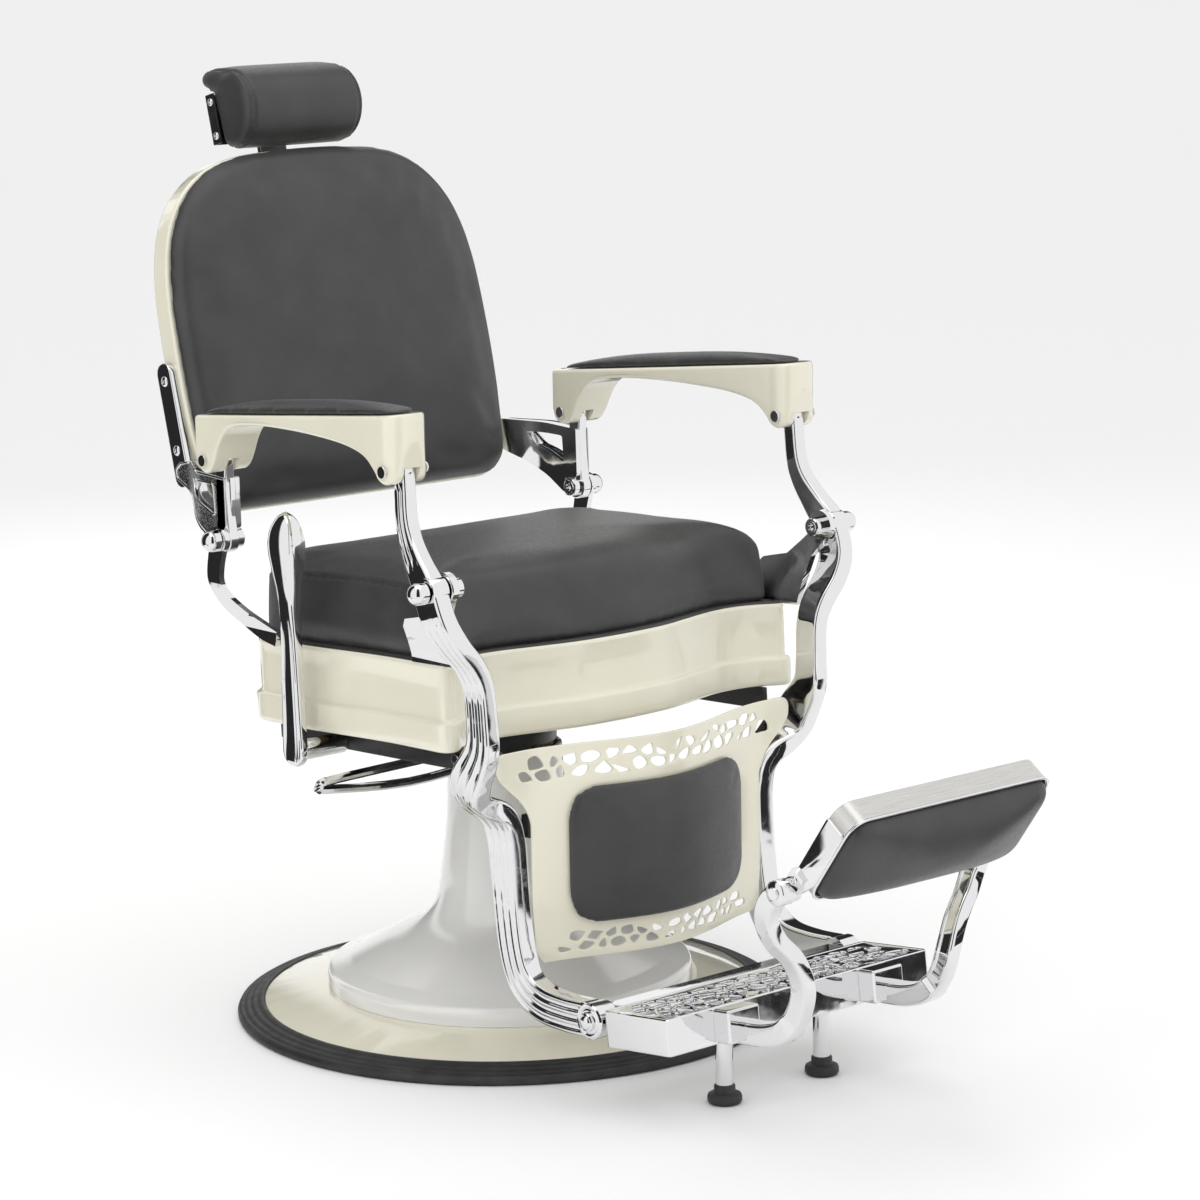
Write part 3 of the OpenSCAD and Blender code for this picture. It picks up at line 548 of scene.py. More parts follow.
KEPT = {
    CREAM: (("base_disc", 1.5), ("back_shell", 4)),
    "dark_steel": (("guide_tube", 1), ("thrust_bearing", 0.5), ("base_bolts", 0.8), ("pedal_pin", 0.6),
                   ("headrest_hinge_pin", 0.6)),
    "bronze": (("guide_bush", 1),),
    "hard_chrome": (("piston_rod", 0.6), ("pump_cylinder", 1)),
    "black_rubber": (("cylinder_gland", 0.5),),
    "black_paint": (("pump_head", 2), ("chassis", 1.2), ("seat_rails", 1.5), ("headrest_guide", 1.2),
                    ("headrest_plate", 0.9), ("cross_bar", 1.5)),
    "plywood": (("seat_board", 1),),
    CHROME: (("lever_sleeve", 1), ("headrest_bar", 1.2), ("foot_posts", 1), ("foot_pad_pins", 0.8),
             ("arm_pins_left", 0.8), ("arm_pins_right", 0.8), ("seat_screws", 0.8), ("pump_pedal", 0),
             ("front_bracket_left", 1.6), ("front_bracket_right", 1.6), ("rear_strut_left", 1.6),
             ("rear_strut_right", 1.6)),
}
for kept_slot, kept_nodes in KEPT.items():
    for kept_node, kept_edge in kept_nodes:
        keep(kept_node, kept_slot, kept_edge)

# ---- base ----

RING_RIDGES = [(297.1, 2), (304, 0), (326, 0), (329.5, 2.5), (330, 6), (328, 10), (324.5, 12), (322.5, 11.2),
               (320.5, 12.6), (317, 14.6), (314.6, 13.8), (312.6, 15.4), (309, 17.4), (306.6, 16.6),
               (304.6, 18.2), (301, 20), (298, 20), (297.1, 19)]
piece("rubber_floor_ring", *lathe(RING_RIDGES, 220), "black_rubber", "base", "floor_ring", 60)

BELL_OUTER = np.vstack([[[220, 36.2]], arc((211, 50), 9, -8, 70, 6),
                        smooth([(194, 65), (150, 88), (104, 112), (86, 140), (79, 180), (72, 240), (69, 300),
                                (68, 323)], 7), arc((65, 323), 3, 0, 90, 3)])
BELL_INNER = np.array([(63.5, 324), (65, 300), (68, 240), (75, 180), (83, 140), (101, 109), (149, 84),
                       (193, 60), (216, 40)])
piece("spun_bell", *lathe(np.vstack([BELL_OUTER, BELL_INNER]), 220), "pale_enamel", "base", "bell_cover", 60)

# ---- cushions ----


def shrunk(outline, d, centre):
    """The outline pulled in by d on every side, towards its centre."""
    from_centre = outline - centre
    return centre + from_centre * (1 - np.reshape(d, (-1, 1)) / abs(from_centre).max(0))


def softened(outline, reach):
    """A closed outline with its corners rounded over reach points."""
    kernel = np.hanning(2 * reach + 3)[1:-1]
    padded = np.vstack([outline[-reach:], outline, outline[:reach]])
    return np.column_stack([np.convolve(padded[:, k], kernel / kernel.sum(), "valid") for k in (0, 1)])


def pillow(outline, foot, edge, roll, crown, centre, lean=76, spread=2.0):
    """Rings of a crowned cushion: its wall stands from foot to edge, rolls over and rises to the crown."""
    roll = np.broadcast_to(np.asarray(roll, float), (len(outline),))
    rings = stacked(outline, [(-3, foot)])
    for h in np.linspace(foot + 2, edge - roll.max(), 4):
        rings.append(np.column_stack([outline, np.minimum(h, edge - roll)]))
    for turn in np.radians(np.linspace(0, lean, 8)):
        rings.append(np.column_stack([shrunk(outline, roll * (1 - math.cos(turn)), centre),
                                      edge - roll * (1 - math.sin(turn))]))
    top, height = rings[-1][:, :2], rings[-1][:, 2]
    for k in (0.94, 0.86, 0.75, 0.62, 0.48, 0.34, 0.2, 0.06):
        rise = 1 - k ** spread
        rings.append(np.column_stack([centre + (top - centre) * k,
                                      height + rise * (edge + crown - height)]))
    return rings


def remade(obj):
    """Applies the modifiers of an object to its mesh."""
    graph = bpy.context.evaluated_depsgraph_get()
    mesh = bpy.data.meshes.new_from_object(obj.evaluated_get(graph))
    obj.modifiers.clear()
    obj.data = mesh
    return mesh


def points_of(mesh):
    co = np.empty(len(mesh.vertices) * 3)
    mesh.vertices.foreach_get("co", co)
    return co.reshape(-1, 3)


CLOTH = {"quality": 5, "mass": 0.3, "tension_stiffness": 12, "compression_stiffness": 12,
         "shear_stiffness": 6, "bending_stiffness": 0.6, "use_pressure": True,
         "uniform_pressure_force": 4.0, "vertex_group_mass": "held"}
CLOTH_FRAMES = 20


def inflate(obj, held, cap, voxel, calm):
    """Swells a closed cushion as cloth under pressure. held(points) says which points stay, and no point
    moves further than cap; all are in millimetres."""
    modifier(obj, "REMESH", mode="VOXEL", voxel_size=voxel * MM)
    mesh = remade(obj)
    start = points_of(mesh)
    group = obj.vertex_groups.new(name="held")
    group.add([int(i) for i in np.flatnonzero(held(start / MM))], 1.0, "REPLACE")
    cloth = modifier(obj, "CLOTH")
    for key, value in CLOTH.items():
        setattr(cloth.settings, key, value)
    cloth.settings.effector_weights.gravity = 0
    cloth.point_cache.frame_end = CLOTH_FRAMES
    for step in range(1, CLOTH_FRAMES + 1):
        scene.frame_set(step)
    mesh = remade(obj)
    scene.frame_set(1)
    move = points_of(mesh) - start
    length = np.linalg.norm(move, axis=1)[:, None]
    end = start + move * np.minimum(1, cap * MM / np.maximum(length, 1e-9))
    mesh.vertices.foreach_set("co", end.ravel())
    obj.vertex_groups.clear()
    modifier(obj, "SMOOTH", factor=0.5, iterations=calm)
    modifier(obj, "SUBSURF", levels=1, render_levels=1)
    remade(obj).shade_smooth()


def cushion(name, rings, body, stands_for, place, held, cap, voxel=5.0, calm=12):
    obj = piece(name, *skin(rings), VINYL, body, stands_for, 180, place)
    inflate(obj, held, cap, voxel, calm)
    if not obj.data.materials:
        obj.data.materials.append(MATERIALS[VINYL])
    return obj


def local(place, points):
    """World points in millimetres, in the frame called place."""
    m = np.array(place.inverted())
    return points @ m[:3, :3].T + m[:3, 3]


def surface_line(obj, starts, ways):
    """Where rays from starts (millimetres) along ways meet an object: points and normals."""
    tree = BVHTree.FromPolygons([v.co for v in obj.data.vertices], [p.vertices for p in obj.data.polygons])
    hits = []
    for start, way in zip(starts, ways):
        at, normal, _, _ = tree.ray_cast(Vector(start) * MM, Vector(way).normalized())
        if at is not None:
            hits.append((np.array(at) / MM, np.array(normal)))
    return np.array([h[0] for h in hits]), np.array([h[1] for h in hits])


def sew(obj, points, width=2.4, depth=1.6, puff=0.5):
    """Pulls the surface in along a seam."""
    tree = KDTree(len(points))
    for i, p in enumerate(points):
        tree.insert(p, i)
    tree.balance()
    mesh = obj.data
    for v in mesh.vertices:
        d = tree.find(v.co / MM)[2]
        if d < 5 * width:
            pull = -depth * math.exp(-(d / width) ** 2) + puff * math.exp(-((d - 2.2 * width) / width) ** 2)
            v.co += v.normal * pull * MM
    mesh.update()


def stitches(name, rows, body, pitch=5.0, length=3.6, thick=0.55):
    """Threads along rows of (points, normals), one short stitch after another."""
    ring = [(math.cos(a), math.sin(a)) for a in np.linspace(0, 2 * math.pi, 6, endpoint=False)]
    parts = []
    for points, normals in rows:
        s = distances(points)
        for at in np.arange(pitch / 2, s[-1] - pitch / 2, pitch):
            ends = [at_distance(t, points) for t in (at - length / 2, at + length / 2)]
            up = np.array([np.interp(at, s, normals[:, k]) for k in range(3)])
            along = ends[1] - ends[0]
            side = np.cross(along / np.linalg.norm(along), up)
            rings = []
            for t, fat, lift in ((0, 0.3, -0.35), (0.2, 0.9, 0.15), (0.5, 1, 0.35), (0.8, 0.9, 0.15),
                                 (1, 0.3, -0.35)):
                middle = ends[0] + along * t + up * (0.2 + lift * thick)
                rings.append([middle + thick * fat * (c * side + q * up) for c, q in ring])
            parts.append(skin(rings))
    return piece(name, *join(*parts), VINYL, body, crease=180, material=THREAD)


def beside(points, normals, d):
    """A line at d to one side of a line on a surface."""
    along = np.gradient(points, axis=0)
    side = np.cross(along / np.linalg.norm(along, axis=1)[:, None], normals)
    return points + side * d, normals


def double_seam(name, obj, starts, ways, body, gap=3.4):
    """A sewn seam with a row of stitches on each side of it."""
    points, normals = surface_line(obj, starts, ways)
    sew(obj, points)
    points, normals = surface_line(obj, starts, ways)
    return stitches(name, [beside(points + normals * 0.5, normals, d) for d in (-gap, gap)], body)


# the outline of the seat in plan, from its front corners back
SEAT_HALF_W, SEAT_DEPTH, SKIRT_H = 262, 388, 98
SEAT_HALF = np.vstack([
    smooth([(0, 4), (60, 8), (107, 20), (157, 35), (190, 38), (222, 31), (246, 14), (254, 8)], 4),
    arc((SEAT_HALF_W - 8, 16), 8, -60, 0, 3),
    smooth([(261, 32), (258, 130), (264, 250), (262, 330)], 4),
    arc((SEAT_HALF_W - 46, SEAT_DEPTH - 46), 46, 10, 90, 7), [[0, SEAT_DEPTH]]])
SEAT_OUTLINE = even(both(SEAT_HALF), 6)

SKIRT_PROFILE = [(0.3, SKIRT_H - 1.6), (0.4, SKIRT_H - 5), (0, SKIRT_H - 6), (0, 60), (0, 38), (0.5, 35.8),
                 (1.8, 34.4), (4.6, 33), (5.7, 31.6), (6, 29.5), (6, 6), (5.6, 2.5), (4.4, 0.6), (3, 0),
                 (-1.6, 0), (-3, 1.2), (-3, SKIRT_H - 1.2), (-2.2, SKIRT_H), (-0.6, SKIRT_H)]
skirt_path = softened(even(SEAT_OUTLINE, 3), 4)
piece("pressed_skirt", *skin(stacked(skirt_path, SKIRT_PROFILE), wrap=True), CREAM, "seat", "seat_skirt", 40,
      SEAT)
EDGING = [(-4, SKIRT_H - 5), (-4, SKIRT_H + 1), (-5, SKIRT_H + 2.4), (-15, SKIRT_H + 2.4),
          (-15, SKIRT_H - 5)]
piece("seat_edging", *skin(stacked(skirt_path, EDGING), wrap=True), VINYL, "seat", crease=60, place=SEAT)

seat_rim = softened(even(grown(SEAT_OUTLINE, -8), 6), 7)
seat_roll = 20 + 14 * (1 - ramp(seat_rim[:, 1], 30, 110))
seat_rings = pillow(seat_rim, SKIRT_H + 0.8, SKIRT_H + 94, seat_roll, 8, np.array([0, 190]))
seat_pad = cushion("seat_pad", seat_rings, "seat", "seat_cushion", SEAT,
                   lambda p: local(SEAT, p)[:, 2] < SKIRT_H + 6, 5, calm=22)
SEAM_PATH = even_path(smooth([(372, 172), (300, 176), (200, 178), (110, 177), (56, 172)], 8), 3)
for side_name, side in SIDES.items():
    starts = [SEAT @ Vector((400 * side, y, z)) for y, z in SEAM_PATH]
    double_seam("seat_stitches_" + side_name, seat_pad, starts, [(-side, 0, 0)] * len(starts), "seat")

BACK_HALF_W = 236
BACK_HALF = np.vstack([
    [[0, 0]], arc((BACK_HALF_W - 50, 44), 44, -90, -20, 6),
    smooth([(231, 70), (235, 120), (236, 190), (233, 268), (224, 320), (208, 360), (183, 392), (146, 417),
            (102, 429), (52, 433), (0, 434)], 4)])
BACK_OUTLINE = even(both(BACK_HALF), 7)


def on_back(rings):
    """Cushion rings in the back's frame: its thickness runs forwards."""
    return [np.column_stack([r[:, 0], -r[:, 2], r[:, 1]]) for r in rings]


back_rings = on_back(pillow(grown(BACK_OUTLINE, 1.5), -13.6, 14, 22, 16, np.array([0, 210])))
cushion("back_pad", back_rings, "back", "back_cushion", BACK, lambda p: local(BACK, p)[:, 1] > 8, 4,
        calm=20)

# headrest: a D section with its flat side on the bracket
HEAD_C, HEAD_R, HEAD_FLAT = (30, 490), 52, 58
HEAD_SECTION = even(np.vstack([arc(HEAD_C, HEAD_R, 96, 288, 30), [(HEAD_FLAT - 8, 444)],
                               [(HEAD_FLAT - 2, 450), (HEAD_FLAT - 1.5, 480), (HEAD_FLAT - 1.5, 511)],
                               smooth([(HEAD_FLAT + 6, 518), (HEAD_FLAT + 17, 520), (HEAD_FLAT + 24, 528),
                                       (HEAD_FLAT + 24, 540), (HEAD_FLAT + 14, 549), (HEAD_FLAT - 6, 549)],
                                      3)]), 4)
HEAD_END = [(-91, 12), (-89, 7), (-85, 3), (-80, 1), (-74, 0), (-50, 0), (-25, 0), (0, 0)]
head_ends = HEAD_END + [(-x, inset) for x, inset in HEAD_END[-2::-1]]
head_rings = [upright(x, grown(HEAD_SECTION, -inset - 3)) for x, inset in head_ends]
head_pad = cushion("headrest_pad", head_rings, "headrest", "headrest_cushion", BACK,
                   lambda p: local(BACK, p)[:, 1] > HEAD_FLAT - 6, 4, voxel=4.0)
for side_name, side in SIDES.items():
    turns = np.radians(np.arange(48, 312, 3))
    starts = [BACK @ Vector((side * 80, HEAD_C[0] + 90 * math.cos(a), HEAD_C[1] + 90 * math.sin(a)))
              for a in turns]
    ways = [BACK.to_3x3() @ Vector((0, -math.cos(a), -math.sin(a))) for a in turns]
    double_seam("headrest_stitches_" + side_name, head_pad, starts, ways, "headrest", 3)

# foot pad
FOOT_HALF_W, FOOT_LEN = 151, 130
foot_rim = even(round_rect(-FOOT_HALF_W + 3.4, -FOOT_LEN + 3.4, FOOT_HALF_W - 3.4, -14, 20), 5)
foot_rings = [r * [1, 1, -1] for r in pillow(foot_rim, 4, 44, 17, 24, np.array([0, -72]), 56, 1.7)]
cushion("foot_pad_bolster", foot_rings, "foot_pad", "foot_pad_cushion", FOOT,
        lambda p: local(FOOT, p)[:, 2] > -25, 5, voxel=4.0)


# calf pad, bowed with its panel
def panel_y(x):
    x = np.asarray(x, float)
    return -254 - np.where(abs(x) < 190, 22 * (1 + np.cos(np.radians(180 * x / 190))), 0)


calf_rings = pillow(even(round_rect(-133, 175, 133, 337, 34), 6), 0, 11, 9, 6, np.array([0, 256]))
calf_rings = [np.column_stack([r[:, 0], panel_y(r[:, 0]) - 3.4 - r[:, 2], r[:, 1]]) for r in calf_rings]
cushion("calf_cushion", calf_rings, "legs", "calf_pad", WORLD,
        lambda p: p[:, 1] > panel_y(p[:, 0]) - 7, 3, voxel=4.0)

# armrests' pads
ARM_INNER = [(244, 192), (243, 170), (247, 90), (253, 0), (260, -100), (264, -160)]
ARM_OUTER = [(301, 192), (304, 130), (311, 40), (316, -60), (321, -150)]
ARM_NOSE = [(268, -196), (276, -212), (296, -217), (312, -212), (321, -196)]
ARM_PLAN = smooth(ARM_INNER + ARM_NOSE + ARM_OUTER[::-1], 4)


def arm_top(y):
    return 751 - 0.096 * np.asarray(y, float)


PAD_PLAN = even(np.array([286, -12]) + (ARM_PLAN - [286, -12]) * [0.80, 0.93], 4)
for side_name, side in SIDES.items():
    arm_rings = pillow(PAD_PLAN, 0, 8, 6, 7.5, np.array([284, -12]))
    fall = [0.25 + 0.75 * np.sqrt(np.maximum(0, 1 - ((r[:, 1] + 8) / 192) ** 4)) for r in arm_rings]
    arm_rings = [np.column_stack([r[:, 0] * side, r[:, 1], arm_top(r[:, 1]) + 0.6 + r[:, 2] * f])
                 for r, f in zip(arm_rings, fall)]
    cushion("arm_cushion_" + side_name, arm_rings, "armrest_" + side_name, "arm_pad_" + side_name, WORLD,
            lambda p: p[:, 2] < arm_top(p[:, 1]) + 2.5, 1.5, voxel=3.0)

# ---- castings ----

FLAT_STEPS = 41


def bar_section(half_a, half_b, r, cut=None, oval=0.0):
    """Section of a bar: a rounded rectangle in (a, b), with cut(a / half_a) taken off its +b face.
    oval runs from 0 for the rectangle to 1 for an ellipse."""
    r = min(r, half_a * 0.95, half_b * 0.95)
    u = np.linspace(half_a - r, -half_a + r, FLAT_STEPS)
    face = np.column_stack([u, half_b - (cut(u / half_a) if cut else 0 * u)])
    back = np.column_stack([-u[::4], np.full(len(u[::4]), -half_b)])
    points = np.vstack([arc((half_a - r, -half_b + r), r, -90, 0, 5)[1:],
                        arc((half_a - r, half_b - r), r, 0, 90, 5)[:-1], face,
                        arc((-half_a + r, half_b - r), r, 90, 180, 5)[1:],
                        arc((-half_a + r, -half_b + r), r, 180, 270, 5)[:-1], back])
    turn = np.arctan2(points[:, 1] / half_b, points[:, 0] / half_a)
    ellipse = np.column_stack([half_a * np.cos(turn), half_b * np.sin(turn)])
    return points * (1 - oval) + ellipse * oval


def loft(centres, sections, out=(1, 0, 0), blunt=3):
    """A bar through centres, with sections in (a, b): b points to out, and a across the path and out.
    Its ends are rounded off over a few stations."""
    centres = np.array(centres, float)
    along = np.gradient(centres, axis=0)
    along /= np.linalg.norm(along, axis=1)[:, None]
    rings = []
    last = len(centres) - 1
    for i, (c, t, section) in enumerate(zip(centres, along, sections)):
        b = np.array(out, float) - t * np.dot(out, t)
        b /= np.linalg.norm(b)
        a = np.cross(b, t)
        near_end = min(i, last - i)
        if near_end < blunt:
            section = np.array(section) * math.sqrt(1 - (1 - (near_end + 0.25) / (blunt + 0.25)) ** 2)
        rings.append(c + np.outer(section[:, 0], a) + np.outer(section[:, 1], b))
    return skin(rings)


def grooves(centres, half, soft, depth):
    """A cut with one groove about each centre of the face, which runs from -1 to 1."""
    return lambda u: depth * sum(1 - ramp(abs(u - c), half - soft, half + soft) for c in centres)


def window(x, start, end, soft):
    """1 between start and end, 0 outside them."""
    return ramp(x, start - soft, start + soft) * (1 - ramp(x, end - soft, end + soft))


# side view (y, z, width) and front view (x, z, thickness) of a leg frame, from its top down
LEG_SIDE = smooth([(-195, 716, 22), (-197, 690, 21), (-200, 655, 22), (-209, 630, 25), (-227, 605, 31),
                   (-246, 582, 38), (-257, 556, 40), (-264, 525, 40), (-266, 480, 36), (-268, 430, 36),
                   (-266, 396, 40), (-246, 362, 50), (-232, 334, 52), (-231, 300, 44), (-236, 220, 40),
                   (-245, 155, 40), (-261, 120, 41), (-292, 103, 41), (-336, 100, 40), (-384, 103, 40)], 9)
LEG_FRONT = smooth([(294, 740, 18), (294, 690, 18), (296, 640, 19), (300, 605, 20), (303, 575, 22),
                    (300, 545, 22), (286, 520, 22), (266, 496, 22), (254, 470, 21), (251, 430, 21),
                    (250, 385, 22), (247, 352, 24), (230, 330, 26), (204, 312, 26), (192, 288, 26),
                    (189, 240, 26), (189, 60, 26)], 8)
ARM_PIN, REAR_ARM_PIN = (-195, 708), (172, 681)
FRONT_PIVOT, REAR_PIVOT, LEG_BOLT = (-253, 581), (173, 585), (-382, 102.6)


def leg_frame():
    """The left leg frame: armrest post, shoulder, fluted leg and foot."""
    side = even_path(LEG_SIDE, 4)
    front = LEG_FRONT[::-1]
    x = np.interp(side[:, 1], front[:, 1], front[:, 0])
    thick = np.interp(side[:, 1], front[:, 1], front[:, 2])
    sections = []
    for (y, z, width), t in zip(side, thick):
        post = 2.6 * window(z, 606, 690, 7)
        flute = 2.4 * (1 - ramp(z, 528, 552)) * (ramp(y, -372, -362) if z < 140 else 1)
        cut = lambda u, p=post, f=flute: (grooves((-0.03,), 0.62, 0.06, p)(u)
                                          - grooves((0.02,), 0.05, 0.04, 0.7 * p)(u)
                                          + grooves((-0.56, 0.0, 0.56), 0.15, 0.07, f)(u))
        sections.append(bar_section(width / 2, t / 2, 4.5, cut))
    return loft(np.column_stack([x, side[:, :2]]), sections)


def ball(r, reach, steps=12):
    """Profile of a ball on a turned piece, cut off at reach on both sides."""
    return [(math.sqrt(max(0, r * r - x * x)), x) for x in np.linspace(-reach, reach, steps)]


BOLT_HEAD = [(0, -1), (11, -1), (11, 3), (10, 4.4), (9, 4.6), (8.2, 4.0), (7.4, 5.4), (5, 6.8), (2.5, 7.4),
             (0, 7.5)]


def dome_bolt(start, r, neck):
    """A pivot's polished cap: a short neck that ends in a half ball."""
    head = [(r * math.cos(a), neck + r * 0.95 * math.sin(a)) for a in np.radians(np.arange(0, 91, 9))]
    return [(0, start), (r - 1, start), (r, start + 1)] + [(q, start + x) for q, x in head]


def socket_bolt(start, r, deep):
    """A socket head with raised rings, which grows towards -X from start."""
    return [(0, start + 2), (r, start + 2), (r, start - deep + 1), (r - 1, start - deep),
            (r * 0.8, start - deep), (r * 0.74, start - deep + 1), (r * 0.68, start - deep - 0.6),
            (r * 0.45, start - deep - 0.6), (r * 0.4, start - deep + 3.5), (0, start - deep + 3.5)]


SHOULDER = [(0, -12), (15, -12), (16.5, -10), (16.5, 9), (15.4, 11), (0, 11.6)]
FOOT_EYE = [(0, -13), (20, -13), (20.5, -11), (20.5, 12), (19, 14), (16.5, 14.4), (15.4, 13.4), (14.4, 13),
            (13.4, 13.8), (12, 14), (0, 14)]
for side_name, side in SIDES.items():
    for part, shape, stands_for, crease in (
            ("fluted_leg_", mirror(leg_frame(), side), "leg_frame_" + side_name, 50),
            ("post_eye_", turned((side * 294, *ARM_PIN), ball(12.5, 10), side), (), 35),
            ("shoulder_boss_", turned((side * 303, *FRONT_PIVOT), SHOULDER, side), (), 35),
            ("foot_eye_", turned((side * 189, *LEG_BOLT), FOOT_EYE, side), (), 35),
            ("foot_bolt_", turned((side * 204, *LEG_BOLT), BOLT_HEAD, side), "leg_bolts", 35)):
        piece(part + side_name, *shape, CHROME, "legs", stands_for, crease)
    caps = join(turned((side * 315.8, *FRONT_PIVOT), dome_bolt(0, 12.5, 8), side),
                turned((side * 287, *REAR_PIVOT), dome_bolt(0, 13, 7), side),
                turned((side * 280, *FRONT_PIVOT), socket_bolt(0, 11, 13), side),
                turned((side * 264.4, *REAR_PIVOT), socket_bolt(0, 12, 10), side))
    piece("pivot_caps_" + side_name, *caps, CHROME, "seat", "pivot_bolts")

# recline lever: a recessed bar that swells into an egg-shaped grip
LEVER = smooth([(16, 342, 6, 4, 0), (16, 347, 14, 5.5, 0), (16, 359, 18.5, 6, 0), (16.5, 400, 17, 6, 0),
                (17, 450, 15.5, 6.5, 0.05), (17, 500, 13.5, 7.5, 0.2), (18, 530, 14, 9.5, 0.6),
                (19, 552, 18.5, 12.5, 1), (20, 572, 23, 15.5, 1), (20.5, 592, 26.5, 18, 1),
                (20.5, 608, 26, 17.5, 1), (20, 622, 20, 14, 1), (20, 632, 11, 8.5, 1),
                (20, 637.5, 1.5, 1.2, 1)], 8)
lever_sections = []
for y, z, half_y, half_x, oval in LEVER:
    deep = window(z, 358, 505, 22)
    hollow = grooves((0.22,), 0.52, 0.1, 3.0 * deep)
    ridges = grooves((-0.52, -0.78), 0.07, 0.06, 1.5 * deep)
    cut = lambda u, p=hollow, q=ridges: p(u) + q(u)
    lever_sections.append(bar_section(half_y, half_x, 4, cut, min(1, max(0, oval))))
lever_mesh = join(loft(upright(-298, LEVER[:, :2]), lever_sections, (-1, 0, 0), 1),
                  turned((-293, 16, 359), [(0, 0), (7, 0), (7, 61), (0, 61)]))
piece("recline_handle", *lever_mesh, CHROME, "recline_lever", "recline_lever", 70)

# ---- openwork ----


def pebbles(x0, x1, y0, y1, pitch, web, seed):
    """Rounded openings that fill a rectangle: the cells of a jittered honeycomb, each shrunk by the web."""
    rows = max(1, round((y1 - y0) / (pitch * 0.87)))
    columns = max(1, round((x1 - x0) / pitch))
    unit_x, unit_y = (x1 - x0) / columns / 2, (y1 - y0) / (3 * rows + 1)
    rng = np.random.default_rng(seed)
    nudge = {}

    def corner(i, j):
        if (i, j) not in nudge:
            nudge[i, j] = rng.uniform(-0.5, 0.5, 2)
        dx, dy = nudge[i, j]
        return (x0 + (i + dx) * unit_x, y0 + max(0, min(3 * rows + 1, j + dy)) * unit_y)

    cells = []
    for row in range(rows):
        for column in range(columns - row % 2):
            i, j = 2 * column + 1 + row % 2, 3 * row + 1
            cell = np.array([corner(i + a, j + b) for a, b in
                             ((0, -1), (1, 0), (1, 2), (0, 3), (-1, 2), (-1, 0))])
            corners = rng.choice(6, rng.integers(4, 7), replace=False)
            cell = cell[np.sort(corners)]
            middle = cell.mean(0)
            size = np.linalg.norm(cell - middle, axis=1).mean()
            cells.append(smooth(middle + (cell - middle) * (1 - web / size), 5, closed=True))
    return cells


def sheet_with_holes(outline, holes, thickness, edge):
    """A mesh of a flat sheet in X and Y, with rounded edges; height 0 is halfway through it."""
    curve = bpy.data.curves.new("outline", "CURVE")
    curve.dimensions = "2D"
    curve.fill_mode = "BOTH"
    curve.extrude = thickness / 2 - edge
    curve.bevel_depth = edge
    curve.bevel_resolution = 1
    curve.offset = -edge
    for ring in [outline, *holes]:
        spline = curve.splines.new("POLY")
        spline.points.add(len(ring) - 1)
        for point, (x, y) in zip(spline.points, ring):
            point.co = (x, y, 0, 1)
        spline.use_cyclic_u = True
    holder = new_object("outline", curve)
    mesh = bpy.data.meshes.new_from_object(holder.evaluated_get(bpy.context.evaluated_depsgraph_get()))
    bpy.data.objects.remove(holder)
    with editing(mesh) as bm:
        bmesh.ops.remove_doubles(bm, verts=bm.verts, dist=1e-4)
    return mesh


def sliced(mesh, step):
    """Cuts a mesh at even steps along X, so that it can be bent."""
    with editing(mesh) as bm:
        xs = [v.co.x for v in bm.verts]
        for x in np.arange(math.ceil(min(xs) / step) * step, max(xs), step):
            bmesh.ops.bisect_plane(bm, geom=bm.verts[:] + bm.edges[:] + bm.faces[:],
                                   plane_co=(x, 0, 0), plane_no=(1, 0, 0))


def mesh_parts(mesh, shape):
    """Points, moved by shape(x, y, z), and faces of a mesh."""
    return [shape(*v.co) for v in mesh.vertices], [tuple(p.vertices) for p in mesh.polygons]


# the web of each back bracket, seen from the side: a sand-cast ground between polished rims
WEB = np.array([(162, 600), (163, 659), (232, 662.5), (276, 664), (302, 660), (313, 651), (311, 638),
                (249, 612), (187, 576)])[::-1]
WEB_HOLE = np.array([(187, 614), (190, 648), (248, 649.5), (235, 633)])
web_outline = softened(even(WEB, 1.5), 3)
web_hole = softened(even(WEB_HOLE, 1.5), 3)[::-1]


def half_round(outline, r, n=8):
    """A polished rim along a closed outline in X and Y, with its flat side at height 0."""
    return skin(stacked(outline, arc((0, 0), r, 0, 180, n - 1)), wrap=True)


def web_x(y, inward):
    """The web bends inwards as it runs back to the shell: where its inner or outer face is at y."""
    return 265.4 - 27.6 * ramp(y, 212, 292) if inward else 278.6 - 33.6 * ramp(y, 212, 292)


